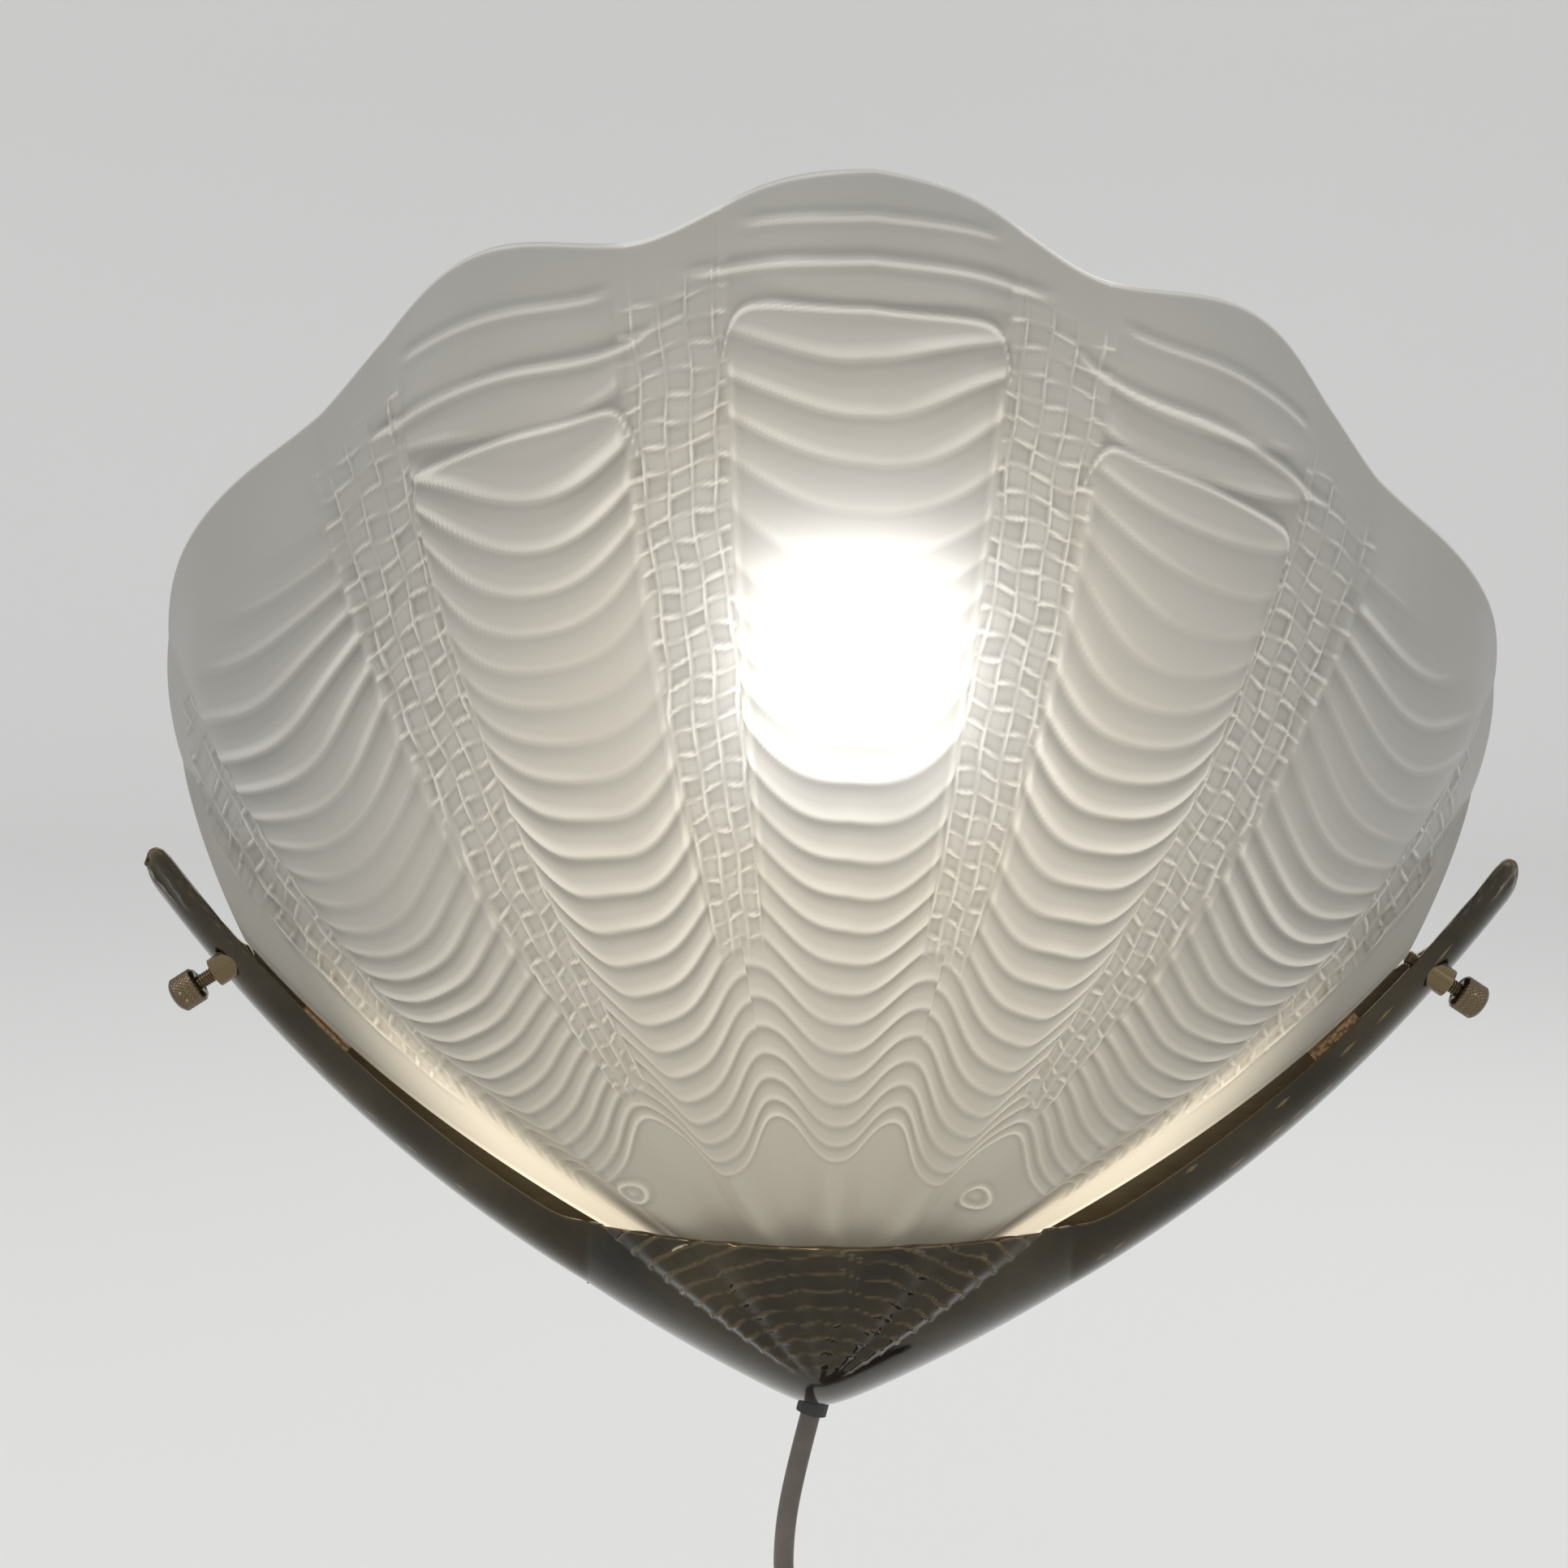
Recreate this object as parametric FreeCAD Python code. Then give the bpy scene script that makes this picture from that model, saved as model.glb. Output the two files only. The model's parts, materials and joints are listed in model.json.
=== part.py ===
import FreeCAD, Part
import math
import os

# Shell wall sconce: a fluted glass shell stands in a brass dish on a wall plate,
# held by two thumbscrews, with a candle lamp behind it and a plug-in flex below.
# Millimetres.  X to the right, Z up, the wall is the plane y = 0 and the lamp
# stands out towards -Y, so "depth" below always means the distance -y from the wall.
# The origin is the middle of the wall plate's back face.

Vector = FreeCAD.Vector

# ---- glass shell
glass_pole_x = -1.0
glass_pole_z = -100.0            # where the flutes would meet, hidden in the dish
glass_umbo_radius = 12.0         # the shell starts this far from the pole
glass_thickness = 5.0
glass_edge_depth = 14.0          # front of the flat flange along both lower edges
glass_crown_depth = 132.0
glass_crown_reach = 330.0
glass_lean = 1.3                 # degrees, the hand-made shell leans to the right
glass_skew = 0.017               # its left half is a little taller than its right half
glass_edge_angle = 62.5          # degrees from upright at the pole
glass_edge_curl = 8.5            # degrees the edges draw in over glass_edge_curl_reach
glass_edge_curl_reach = 200.0
glass_flange = 0.93              # share of the half width where the flange begins
# rim: share of the half width, distance from the pole
glass_rim = [(0.0, 295.5), (0.113, 291.0), (0.228, 281.5), (0.354, 285.5), (0.478, 278.5),
             (0.581, 267.5), (0.66, 264.0), (0.748, 260.0), (0.838, 253.0), (0.896, 241.0),
             (0.942, 222.0), (0.97, 205.0), (1.0, 186.0)]
# flutes: share of the half width at the middle, half of its own width, height
glass_flutes = [(0.0, 0.150, 10.0), (0.37, 0.128, 8.0), (0.722, 0.138, 7.0)]
flute_full_rise = 0.45           # a flute has its full height from this rise upwards
flute_power_low = 2.0            # roundness of a flute's section at its foot
flute_power_high = 4.2           # and from the rise where it has steep sides
flute_steep_rises = (0.30, 0.60)
flute_steps = [0.45, 0.78, 0.95, 1.0]    # where a flute's facets end, from its middle outwards
# growth folds: how many, how their spacing widens upwards, height at foot and rim
fold_count = 10
fold_widening = 1.35
fold_height_foot = 0.7
fold_height_rim = 2.0
fold_sag = 0.03                  # how far the low folds hang on a flute
fold_edge = 0.8                  # share of a fold's height where its raised edge is

# ---- brass dish that the shell stands in
dish_tip_z = -118.0
dish_tip_x = -2.0
dish_slope = 0.515               # rise of the outline beside the tip
dish_curl = 8.3e-6               # how the arms curl up, per square mm
dish_tip_round = 6.0
dish_half_width = 180.5
dish_sheet = 1.2
dish_arm_height = 17.5           # from outline to lip, measured straight up
dish_arm_depth = 24.0
dish_end_depth = 13.0
dish_nose_half = 64.0            # the fan-fronted nose runs this far each side
dish_nose_depth = 47.4
dish_lip_z = -65.0
fan_root_z = -107.0
fan_root_x = -2.0
fan_spread = 0.55                # width of a fan rib for each mm above the root
fan_ribs = 5
fan_rib_height = 2.4
fan_rib_facets = 4
dish_arm_facets = 7
dish_end_round = 7.0
dish_levels = [0.0, 0.2, 0.4, 0.6, 0.8, 1.0]

# ---- wall plate
plate_thickness = 1.5
plate_screw_hole = 5.0
plate_screw_spacing = 60.0
plate_top = [(0, 18), (35, 13), (62, -2), (92, -26), (130, -13), (163, 9)]
plate_half_width = 166.0
plate_runs = 16                  # straight runs of the plate's lower edge
plate_top_runs = 24              # and of its upper edge
plate_inset = 0.2                # the lower edge stands this far inside the dish's outline

# ---- thumbscrews
screw_tip_x = 150.4
screw_tip_z = 6.4
screw_depth = 11.5
screw_slope = 33.0               # degrees below level, pointing outwards
screw_diameter = 4.0
screw_back = {-1: 3.2, 1: 1.4}    # how far each screw stands back to meet its edge of the glass
bush_start = 7.0
bush_end = 14.5
bush_diameter = 8.0
knob_start = 16.0
knob_length = 8.0
knob_diameter = 9.6
knob_shoulder = (7.2, 0.8)       # diameter and height of the step on the knob's outer end
knob_bore_depth = 6.0
running_gap = 0.05

# ---- lampholder and lamp
lamp_depth = 50.0
bracket_z = 6.0                  # top of the arm that the lampholder stands on
bracket_width = 24.0
bracket_sheet = 2.0
bracket_foot = 40.0              # height of the foot against the wall plate
bracket_end = 13.0               # the arm goes this far past the lamp's axis
rivet_drops = (14.0, 32.0)       # below the top of the bracket
rivet_diameter = 4.0
rivet_head = (6.8, 1.4)          # diameter, height
nipple_diameter = 10.0
nipple_bore = 7.2
nipple_below = 8.0               # the nipple reaches this far below the arm's top
nipple_above = 6.0
nut_flats = 14.0
nut_height = 3.0
terminal_reach = 6.0             # of the two terminal screws from the lamp's axis
terminal_diameter = 3.2
terminal_head = (5.2, 1.6)
turned_sides = 20                # flat sides of the turned pieces behind the glass
bar_sides = 12                   # and of small fasteners and tapers
holder_cap_diameter = 26.0
holder_skirt_diameter = 28.0
lamp_seat_z = 28.0
lamp_globe_diameter = 45.0
lamp_globe_z = 85.0
lamp_cap_diameter = 13.4
lamp_neck_z = 51.0
globe_rings = 9
globe_sides = 20

# ---- flex
flex_diameter = 5.4
flex_sides = 6
wire_diameter = 1.6
wire_sides = 4
wire_route = [(1.3, 3.0), (1.5, 6.5), (5.6, 8.2), (6.0, 10.2)]    # x, height above the arm
flex_exit = (-4.3, 7.0, -120.0)  # x, depth, z of the bush's mouth under the dish
flex_drop = [(-4.3, 7.0, -120.0), (-7.9, 7.6, -134.0), (-11.2, 9.0, -151.0), (-11.4, 8.6, -168.5),
             (-2.9, 5.6, -183.7), (11.7, 3.7, -192.0), (28.3, 3.7, -192.0)]
flex_inside = [(-4.3, 7.0, -120.0), (3.4, 5.7, -90.0), (3.4, 5.7, -52.0), (2.4, 16.0, -36.0),
               (0.6, 32.0, -29.0), (0.0, 46.0, -21.0), (0.0, 50.0, -6.0), (0.0, 50.0, 9.0)]
clamp_z = -70.0
clamp_size = (22.0, 8.0)         # width, height
clamp_sheet = 1.2
clamp_screw_reach = 8.0
clamp_screw_diameter = 3.0
clamp_screw_head = (5.2, 1.6)
bush_length = 26.0
bush_collar = 8.0                # straight part of the bush, in the dish's sheet
bush_radius = 4.2
bush_tip_radius = 3.3
coil_turns_in = 3.75
coil_turns_out = 3.5
coil_inner_radius = 21.6
coil_pitch = 5.85
coil_layer_step = 5.9
coil_sides = 4
coil_tail = 14.0
coil_middle = Vector(flex_drop[-1][0] + flex_diameter, 0,
                     flex_drop[-1][2] - coil_inner_radius - coil_pitch * coil_turns_in)
coil_end = (coil_middle.x + coil_inner_radius + coil_pitch * coil_turns_out,
            flex_drop[-1][1] + coil_layer_step, coil_middle.z)
tie_turn = 0.11                  # turns from the coil's top
tie_width = 8.0
tie_sheet = 1.0
plug_relief = (3.4, 4.8, 26.0)   # radius at the tip and at the body, length
plug_rings = [(25.0, 13.0, 11.0, 1.2), (44.0, 34.0, 14.0, 2.2), (61.0, 34.0, 14.0, 2.2)]
# of the plug's body: distance below its tip, width, thickness, chamfer
plug_pin_reach = 9.3
plug_pin_radius = 2.0
plug_pin_end = 80.0              # below the plug's tip
plug_pin_start = 51.0
cork_x = 139.0
cork_rise = 5.2
cork_length = 16.0
cork_thickness = {-1: 8.4, 1: 9.8}
cork_depth = 6.0


def at(x, depth, z):
    return Vector(x, -depth, z)


def save(shape, name):
    shape.exportStep(os.path.join("parts", name + ".step"))
    print(name, "solids", len(shape.Solids), "valid", shape.isValid(), "volume", round(shape.Volume, 1))


def tube(start, direction, radius, length, bore=0.0):
    body = Part.makeCylinder(radius, length, start, direction)
    if bore > 0:
        body = body.cut(Part.makeCylinder(bore, length, start, direction))
    return body


def triangle(a, b, c):
    return Part.Face(Part.makePolygon([a, b, c, a]))


# two flat triangles for each four-cornered patch between two rows of points
def strip_faces(low, high):
    faces = []
    for k in range(len(low) - 1):
        faces.append(triangle(low[k], low[k + 1], high[k + 1]))
        faces.append(triangle(low[k], high[k + 1], high[k]))
    return faces


def closed_solid(faces):
    shell = Part.Shell(faces)
    shell.sewShape()
    solid = Part.Solid(shell)
    if solid.Volume < 0:
        solid.reverse()
    return solid


# a solid turned about an upright axis in flat sides, from (radius, z) pairs that close round
# a hollow, or that begin and end on the axis
def turned(x, depth, profile, sides=turned_sides):
    turns = [2 * math.pi * k / sides for k in range(sides)]
    faces = []
    for (r1, z1), (r2, z2) in zip(profile, profile[1:] + profile[:1]):
        low = [at(x + r1 * math.cos(turn), depth + r1 * math.sin(turn), z1) for turn in turns + turns[:1]]
        high = [at(x + r2 * math.cos(turn), depth + r2 * math.sin(turn), z2) for turn in turns + turns[:1]]
        if r1 == 0 and r2 == 0:
            continue
        if r1 == 0 or r2 == 0:
            faces.append(Part.Face(Part.makePolygon(high if r1 == 0 else low)))
            continue
        for k in range(sides):
            faces.append(Part.Face(Part.makePolygon([low[k], low[k + 1], high[k + 1], high[k], low[k]])))
    return closed_solid(faces)


def ring_points(centre, direction, radius, sides):
    reference = Vector(0, 1, 0) if abs(direction.y) < 0.9 else Vector(1, 0, 0)
    u = direction.cross(reference).normalize()
    w = direction.cross(u).normalize()
    angles = [2 * math.pi * (k + 0.5) / sides for k in range(sides)]
    ring = [centre + u * (radius * math.cos(angle)) + w * (radius * math.sin(angle)) for angle in angles]
    return ring + ring[:1]


# a solid of flat facets through closed rings of points
def ringed_solid(rings):
    faces = [Part.Face(Part.makePolygon(rings[0])), Part.Face(Part.makePolygon(rings[-1]))]
    for low, high in zip(rings, rings[1:]):
        faces += strip_faces(low, high)
    return closed_solid(faces)


# a flat-sided round bar, for small fasteners and the holes that they fill
def bar(start, direction, radius, length):
    ring = Part.makePolygon(ring_points(start, direction, radius, bar_sides))
    return Part.Face(ring).extrude(direction * length)


# outward normal of a surface given by a function of two shares
def normal_of(surface_point, a, b):
    step = 0.002
    along = surface_point(a + step, b) - surface_point(a - step, b)
    across = surface_point(a, b + step) - surface_point(a, b - step)
    normal = along.cross(across).normalize()
    return normal if normal.y < 0 else normal * -1


# ---------------------------------------------------------------- glass shell

rim_curve = Part.BSplineCurve()
rim_curve.interpolate(Points=[Vector(share, reach, 0) for share, reach in glass_rim],
                      Parameters=[share for share, reach in glass_rim])


def edge_angle(radius):
    return glass_edge_angle - glass_edge_curl * (radius / glass_edge_curl_reach) ** 2


def rim_reach(share):
    reach = rim_curve.value(min(abs(share), 1.0)).y
    angle = math.radians(share * edge_angle(reach))
    return reach * (1 - glass_skew * math.sin(3 * angle))


def crown_depth(radius):
    fullness = 1 - (1 - radius / glass_crown_reach) ** 2
    return glass_crown_depth * fullness ** 0.75


def arch(share):
    across = abs(share) / glass_flange
    return (1 - across ** 2.2) ** 0.85 if across < 1 else 0.0


# the shell without its flutes: share -1..1 from edge to edge, rise 0..1 from umbo to rim
def plain_glass(share, rise):
    radius = glass_umbo_radius + (rim_reach(share) - glass_umbo_radius) * rise
    angle = math.radians(share * edge_angle(radius) + glass_lean * (1 - share * share))
    depth = glass_edge_depth + (crown_depth(max(radius, 1.0)) - glass_edge_depth) * arch(share)
    return at(glass_pole_x + radius * math.sin(angle), depth, glass_pole_z + radius * math.cos(angle))


# how far a flute stands out: nothing at the umbo, round low down, steep-sided from mid shell upwards
def flute(share, rise):
    growth = 1 - (1 - min(1.0, rise / flute_full_rise)) ** 2
    first, last = flute_steep_rises
    steep = min(1.0, max(0.0, (rise - first) / (last - first)))
    power = flute_power_low + (flute_power_high - flute_power_low) * steep * steep * (3 - 2 * steep)
    for middle, half, height in glass_flutes:
        across = abs(abs(share) - middle) / half
        if across < 1:
            return height * (1 - across ** power) * growth
    return 0.0


# each growth fold climbs towards the rim and drops behind its raised edge
def fold_height(share, rise, raised):
    if not raised or abs(share) >= glass_flange:
        return 0.0
    return fold_height_foot + (fold_height_rim - fold_height_foot) * rise


# the low folds hang on the flutes, so a level sags in the middle of each flute there
def glass_surface_point(share, phase, raised, back):
    rise = (phase / fold_count) ** fold_widening
    hang = flute(share, 1.0) / glass_flutes[0][2]
    rise -= fold_sag * hang * (1 - rise) * min(1.0, rise / 0.1)
    base = plain_glass(share, rise)
    normal = normal_of(plain_glass, share * 0.998, max(rise, 0.01))
    swell = flute(share, rise)
    if back:
        return base + normal * (0.85 * swell - glass_thickness)
    return base + normal * (swell + fold_height(share, rise, raised))


# across each half: the facets of its flutes, the bands between them, the flange and its edge
def glass_stations():
    half = []
    for middle, own_half, _ in glass_flutes:
        if middle > 0:
            half += [middle - own_half * step for step in reversed(flute_steps)]
        half.append(middle)
        half += [middle + own_half * step for step in flute_steps]
    half += [glass_flange, 1.0]
    return [-share for share in reversed(half[1:])] + half


def make_glass_shell():
    stations = glass_stations()
    valleys = [[glass_surface_point(share, k, False, False) for share in stations]
               for k in range(fold_count + 1)]
    ridges = [[glass_surface_point(share, k + fold_edge, True, False) for share in stations]
              for k in range(fold_count)]
    inside = [[glass_surface_point(share, k, False, True) for share in stations]
              for k in range(fold_count + 1)]
    faces = strip_faces(valleys[0], inside[0]) + strip_faces(valleys[-1], inside[-1])
    for k in range(fold_count):
        faces += strip_faces(valleys[k], ridges[k]) + strip_faces(ridges[k], valleys[k + 1])
        faces += strip_faces(inside[k], inside[k + 1])
        for end in (0, -1):
            faces.append(triangle(inside[k][end], valleys[k][end], ridges[k][end]))
            faces.append(triangle(inside[k][end], ridges[k][end], inside[k + 1][end]))
            faces.append(triangle(inside[k + 1][end], ridges[k][end], valleys[k + 1][end]))
    return closed_solid(faces)


# ---------------------------------------------------------------- brass dish

def dish_outline(x):
    reach = abs(x - dish_tip_x * max(0.0, 1 - abs(x) / dish_nose_half))
    rise = dish_slope * (math.hypot(reach, dish_tip_round) - dish_tip_round)
    return dish_tip_z + rise + dish_curl * reach ** 3


def lip_height(x):
    arm = dish_outline(x) + dish_arm_height
    blend = 3.0
    return 0.5 * (arm + dish_lip_z + math.hypot(arm - dish_lip_z, blend))


def lip_depth(x):
    reach = abs(x)
    arm = dish_arm_depth + (dish_end_depth - dish_arm_depth) * (reach / dish_half_width) ** 3
    if reach >= dish_nose_half:
        return arm
    return arm + (dish_nose_depth - dish_arm_depth) * (1 - (reach / dish_nose_half) ** 2)


# the dish's wall: x at the lip's own scale, rise 0 at the wall to 1 at the lip
def dish_point(x, rise):
    swing = math.pi / 2 * rise
    low = dish_outline(x)
    depth = plate_thickness + (lip_depth(x) - plate_thickness) * math.sin(swing)
    return at(x, depth, low + (lip_height(x) - low) * (1 - math.cos(swing)))


# a level of the dish, from the left arm's end over the nose to the right arm's end
def dish_level(rise, back):
    round_end = dish_end_round * (1 - math.sqrt(max(0.0, 1 - (2 * rise - 1) ** 2)))
    tip = dish_half_width - round_end
    above = max(dish_point(fan_root_x, rise).z - fan_root_z, 4.0)
    rib_width = fan_spread * above
    reach = fan_ribs / 2 * rib_width
    swell = fan_rib_height * min(1.0, (above - 4) / 30)
    facets = fan_ribs * fan_rib_facets
    places = [(-tip + (fan_root_x - reach + tip) * k / dish_arm_facets, 0.0) for k in range(dish_arm_facets)]
    for k in range(facets + 1):
        round_rib = abs(math.sin(math.pi * k / fan_rib_facets))
        places.append((fan_root_x - reach + 2 * reach * k / facets, swell * round_rib))
    places += [(fan_root_x + reach + (tip - fan_root_x - reach) * k / dish_arm_facets, 0.0)
               for k in range(1, dish_arm_facets + 1)]
    level = []
    for x, relief in places:
        base = dish_point(x, rise)
        normal = normal_of(dish_point, x * 0.995, min(max(rise, 0.02), 0.98))
        if rise == 0:
            normal = Vector(normal.x, 0, normal.z).normalize()
        level.append(base + normal * (0.7 * relief - dish_sheet if back else relief))
    return level


def make_glass_holder():
    fronts = [dish_level(rise, False) for rise in dish_levels]
    backs = [dish_level(rise, True) for rise in dish_levels]
    faces = strip_faces(fronts[0], backs[0]) + strip_faces(fronts[-1], backs[-1])
    for low, high in list(zip(fronts, fronts[1:])) + list(zip(backs, backs[1:])):
        faces += strip_faces(low, high)
    for end in (0, -1):
        faces += strip_faces([level[end] for level in fronts], [level[end] for level in backs])
    holder = closed_solid(faces)
    for side in (-1, 1):
        start, direction = screw_axis(side)
        holder = holder.cut(tube(start + direction * bush_start, direction, bush_diameter / 2,
                                 bush_end - bush_start))
    x, depth, z = flex_exit
    hole_start = at(x, depth, z) - bush_direction() * bush_collar
    return holder.cut(bar(hole_start, bush_direction(), bush_radius, 3 * bush_collar))


# ---------------------------------------------------------------- wall plate and screws

def make_wall_plate():
    low = []
    for k in range(plate_runs + 1):
        x = plate_half_width * (2 * k / plate_runs - 1)
        low.append(at(x, 0, dish_outline(x) + plate_inset))
    top_points = [at(-x, 0, z) for x, z in reversed(plate_top[1:])]
    top_points += [at(x, 0, z) for x, z in plate_top]
    top = Part.BSplineCurve()
    top.interpolate(top_points)
    outline = low + list(reversed(top.discretize(Number=plate_top_runs + 1)))
    plate = Part.Face(Part.makePolygon(outline + outline[:1])).extrude(Vector(0, -plate_thickness, 0))
    for side in (-1, 1):
        hole = at(side * plate_screw_spacing / 2, plate_thickness, 0)
        plate = plate.cut(Part.makeCylinder(plate_screw_hole / 2, plate_thickness, hole, Vector(0, 1, 0)))
    return plate


def screw_axis(side):
    slope = math.radians(screw_slope)
    direction = Vector(side * math.cos(slope), 0, -math.sin(slope))
    return at(side * screw_tip_x, screw_depth, screw_tip_z), direction


def make_screw_bush(side):
    start, direction = screw_axis(side)
    bore = screw_diameter / 2 + running_gap
    return tube(start + direction * bush_start, direction, bush_diameter / 2, bush_end - bush_start, bore)


def make_screw_shank(side):
    start, direction = screw_axis(side)
    return tube(start + direction * screw_back[side], direction, screw_diameter / 2,
                knob_start + knob_bore_depth)


def make_screw_knob(side):
    start, direction = screw_axis(side)
    origin = start + direction * (screw_back[side] + knob_start)
    shoulder_diameter, shoulder_height = knob_shoulder
    knob = tube(origin, direction, knob_diameter / 2, knob_length - shoulder_height)
    knob = knob.fuse(bar(origin, direction, shoulder_diameter / 2, knob_length))
    bore = screw_diameter / 2 + running_gap
    return knob.cut(Part.makeCylinder(bore, knob_bore_depth + running_gap, origin, direction))


# ---------------------------------------------------------------- lampholder

def make_bracket():
    half = bracket_width / 2
    foot = Part.makeBox(bracket_width, bracket_sheet, bracket_foot,
                        at(-half, plate_thickness + bracket_sheet, bracket_z - bracket_foot))
    arm_length = lamp_depth + bracket_end - plate_thickness
    arm = Part.makeBox(bracket_width, arm_length, bracket_sheet,
                       at(-half, plate_thickness + arm_length, bracket_z - bracket_sheet))
    bracket = foot.fuse(arm).removeSplitter()
    bracket = bracket.cut(bar(at(0, lamp_depth, bracket_z - nipple_below), Vector(0, 0, 1),
                              nipple_diameter / 2, nipple_below + nipple_above))
    for drop in rivet_drops:
        bracket = bracket.cut(bar(at(0, 0, bracket_z - drop), Vector(0, -1, 0), rivet_diameter / 2, bracket_end))
    return bracket


# a headed fastener lying in its hole: the shank from start, the head on its far end
def headed(start, direction, diameter, length, head):
    head_diameter, head_height = head
    shank = bar(start, direction, diameter / 2, length)
    return shank.fuse(bar(start + direction * length, direction, head_diameter / 2, head_height))


def make_bracket_rivets():
    return Part.makeCompound([headed(at(0, plate_thickness, bracket_z - drop), Vector(0, -1, 0),
                                     rivet_diameter, bracket_sheet, rivet_head) for drop in rivet_drops])


def make_nipple():
    low = at(0, lamp_depth, bracket_z - nipple_below)
    length = nipple_below + nipple_above
    return bar(low, Vector(0, 0, 1), nipple_diameter / 2, length).cut(
        bar(low, Vector(0, 0, 1), nipple_bore / 2, length))


def make_nipple_nut():
    low = at(0, lamp_depth, bracket_z - bracket_sheet - nut_height)
    outline = ring_points(low, Vector(0, 0, 1), nut_flats / math.sqrt(3), 6)
    nut = Part.Face(Part.makePolygon(outline)).extrude(Vector(0, 0, nut_height))
    return nut.cut(bar(low, Vector(0, 0, 1), nipple_diameter / 2, nut_height))


def make_holder_cap():
    outer = holder_cap_diameter / 2
    profile = [(nipple_diameter / 2, bracket_z), (outer, bracket_z), (outer, bracket_z + 9),
               (outer - 0.8, bracket_z + 9), (outer - 0.8, bracket_z + 16), (outer - 2.6, bracket_z + 16),
               (outer - 2.6, bracket_z + 4), (nipple_diameter / 2, bracket_z + 4)]
    return turned(0, lamp_depth, profile)


def make_holder_insert():
    top = bracket_z + 20
    disc = turned(0, lamp_depth, [(0, top - 5), (10.2, top - 5), (10.2, top - 4), (11.6, top - 4),
                                  (11.6, top), (0, top)])
    for side in (-1, 1):
        disc = disc.cut(bar(at(side * terminal_reach, lamp_depth, top - 6), Vector(0, 0, 1),
                            terminal_diameter / 2, 8))
    return disc


def make_holder_thread():
    low = bracket_z + 20
    profile = [(3.0, low), (8.0, low), (8.0, low + 20), (7.2, low + 20), (7.2, low + 0.8), (3.0, low + 0.8)]
    return turned(0, lamp_depth, profile)


def make_holder_contact():
    low = bracket_z + 20
    return bar(at(0, lamp_depth, low), Vector(0, 0, 1), 2.2, lamp_seat_z - low - 0.3)


def make_holder_skirt():
    outer = holder_skirt_diameter / 2
    low = bracket_z + 9
    top = bracket_z + 44
    profile = [(holder_cap_diameter / 2 - 0.8, low), (outer, low), (outer, top), (7.4, top), (7.4, top - 1.4),
               (outer - 1.4, top - 1.4), (outer - 1.4, low + 12), (holder_cap_diameter / 2 - 0.8, low + 12)]
    return turned(0, lamp_depth, profile)


def make_terminal_screws():
    top = bracket_z + 20
    return Part.makeCompound([headed(at(side * terminal_reach, lamp_depth, top), Vector(0, 0, -1),
                                     terminal_diameter, 8, terminal_head) for side in (-1, 1)])


# the globe in flat facets, from the neck over the widest place to the crown
def make_bulb_globe():
    neck = lamp_cap_diameter / 2 + 0.6
    profile = [(0, lamp_neck_z), (neck, lamp_neck_z), (neck + 2.0, lamp_neck_z + 7)]
    for k in range(globe_rings):
        angle = math.radians(-36 + 118 * k / (globe_rings - 1))
        profile.append((lamp_globe_diameter / 2 * math.cos(angle),
                        lamp_globe_z + lamp_globe_diameter / 2 * math.sin(angle)))
    profile.append((0, profile[-1][1]))
    return turned(0, lamp_depth, profile, globe_sides)


def make_bulb_cap():
    low = lamp_seat_z + 3
    radius = lamp_cap_diameter / 2
    profile = [(0, low), (4.5, low), (radius, low + 3), (radius, lamp_neck_z), (0, lamp_neck_z)]
    return turned(0, lamp_depth, profile)


def make_bulb_contact():
    profile = [(0, lamp_seat_z), (1.8, lamp_seat_z), (2.4, lamp_seat_z + 0.8), (4.5, lamp_seat_z + 3),
               (0, lamp_seat_z + 3)]
    return turned(0, lamp_depth, profile)


# ---------------------------------------------------------------- flex, wires and plug

# straight runs joined by tangent arcs, each as large as its two runs allow
def route_wire(points, name):
    corners = [at(*point) for point in points]
    edges = []
    radii = []
    here = corners[0]
    for before, corner, after in zip(corners, corners[1:], corners[2:]):
        first = corner - before
        second = after - corner
        shorter = min(first.Length, second.Length)
        half_turn = first.getAngle(second) / 2
        tangent = 0.45 * shorter
        radius = tangent / math.tan(half_turn)
        radii.append(round(radius, 1))
        into = first.normalize()
        out = second.normalize()
        inward = (out - into).normalize()
        start = corner - into * tangent
        end = corner + out * tangent
        middle = corner + inward * (radius / math.cos(half_turn) - radius)
        edges.append(Part.LineSegment(here, start).toShape())
        edges.append(Part.Arc(start, middle, end).toShape())
        here = end
    edges.append(Part.LineSegment(here, corners[-1]).toShape())
    print(name, "radii", radii)
    return Part.Wire(edges)


def sweep(path, direction, radius, sides):
    start = path.Edges[0].valueAt(path.Edges[0].FirstParameter)
    ring = Part.makePolygon(ring_points(start, direction, radius, sides))
    return path.makePipeShell([ring], True, False)


def make_route(points, diameter, name, sides=flex_sides):
    path = route_wire(points, name)
    first = at(*points[1]) - at(*points[0])
    solid = sweep(path, first.normalize(), diameter / 2, sides)
    area = sides / 2 * (diameter / 2) ** 2 * math.sin(2 * math.pi / sides)
    print(name, "length", round(path.Length, 1), "volume over section times length",
          round(solid.Volume / (area * path.Length), 4))
    return solid


# place on the coil after a number of clockwise turns from the top of its outer turn: the spiral
# runs inwards against the wall, changes layer in the half turn where it reverses, and runs out
def coil_point(turns):
    radius = coil_inner_radius + coil_pitch * abs(turns - coil_turns_in)
    climb = min(1.0, max(0.0, 2 * (turns - coil_turns_in) + 0.5))
    depth = flex_drop[-1][1] + coil_layer_step * climb
    angle = 2 * math.pi * turns
    return coil_middle + at(radius * math.sin(angle), depth, radius * math.cos(angle))


def coil_direction(turns):
    step = 0.001
    return (coil_point(turns + step) - coil_point(turns - step)).normalize()


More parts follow.
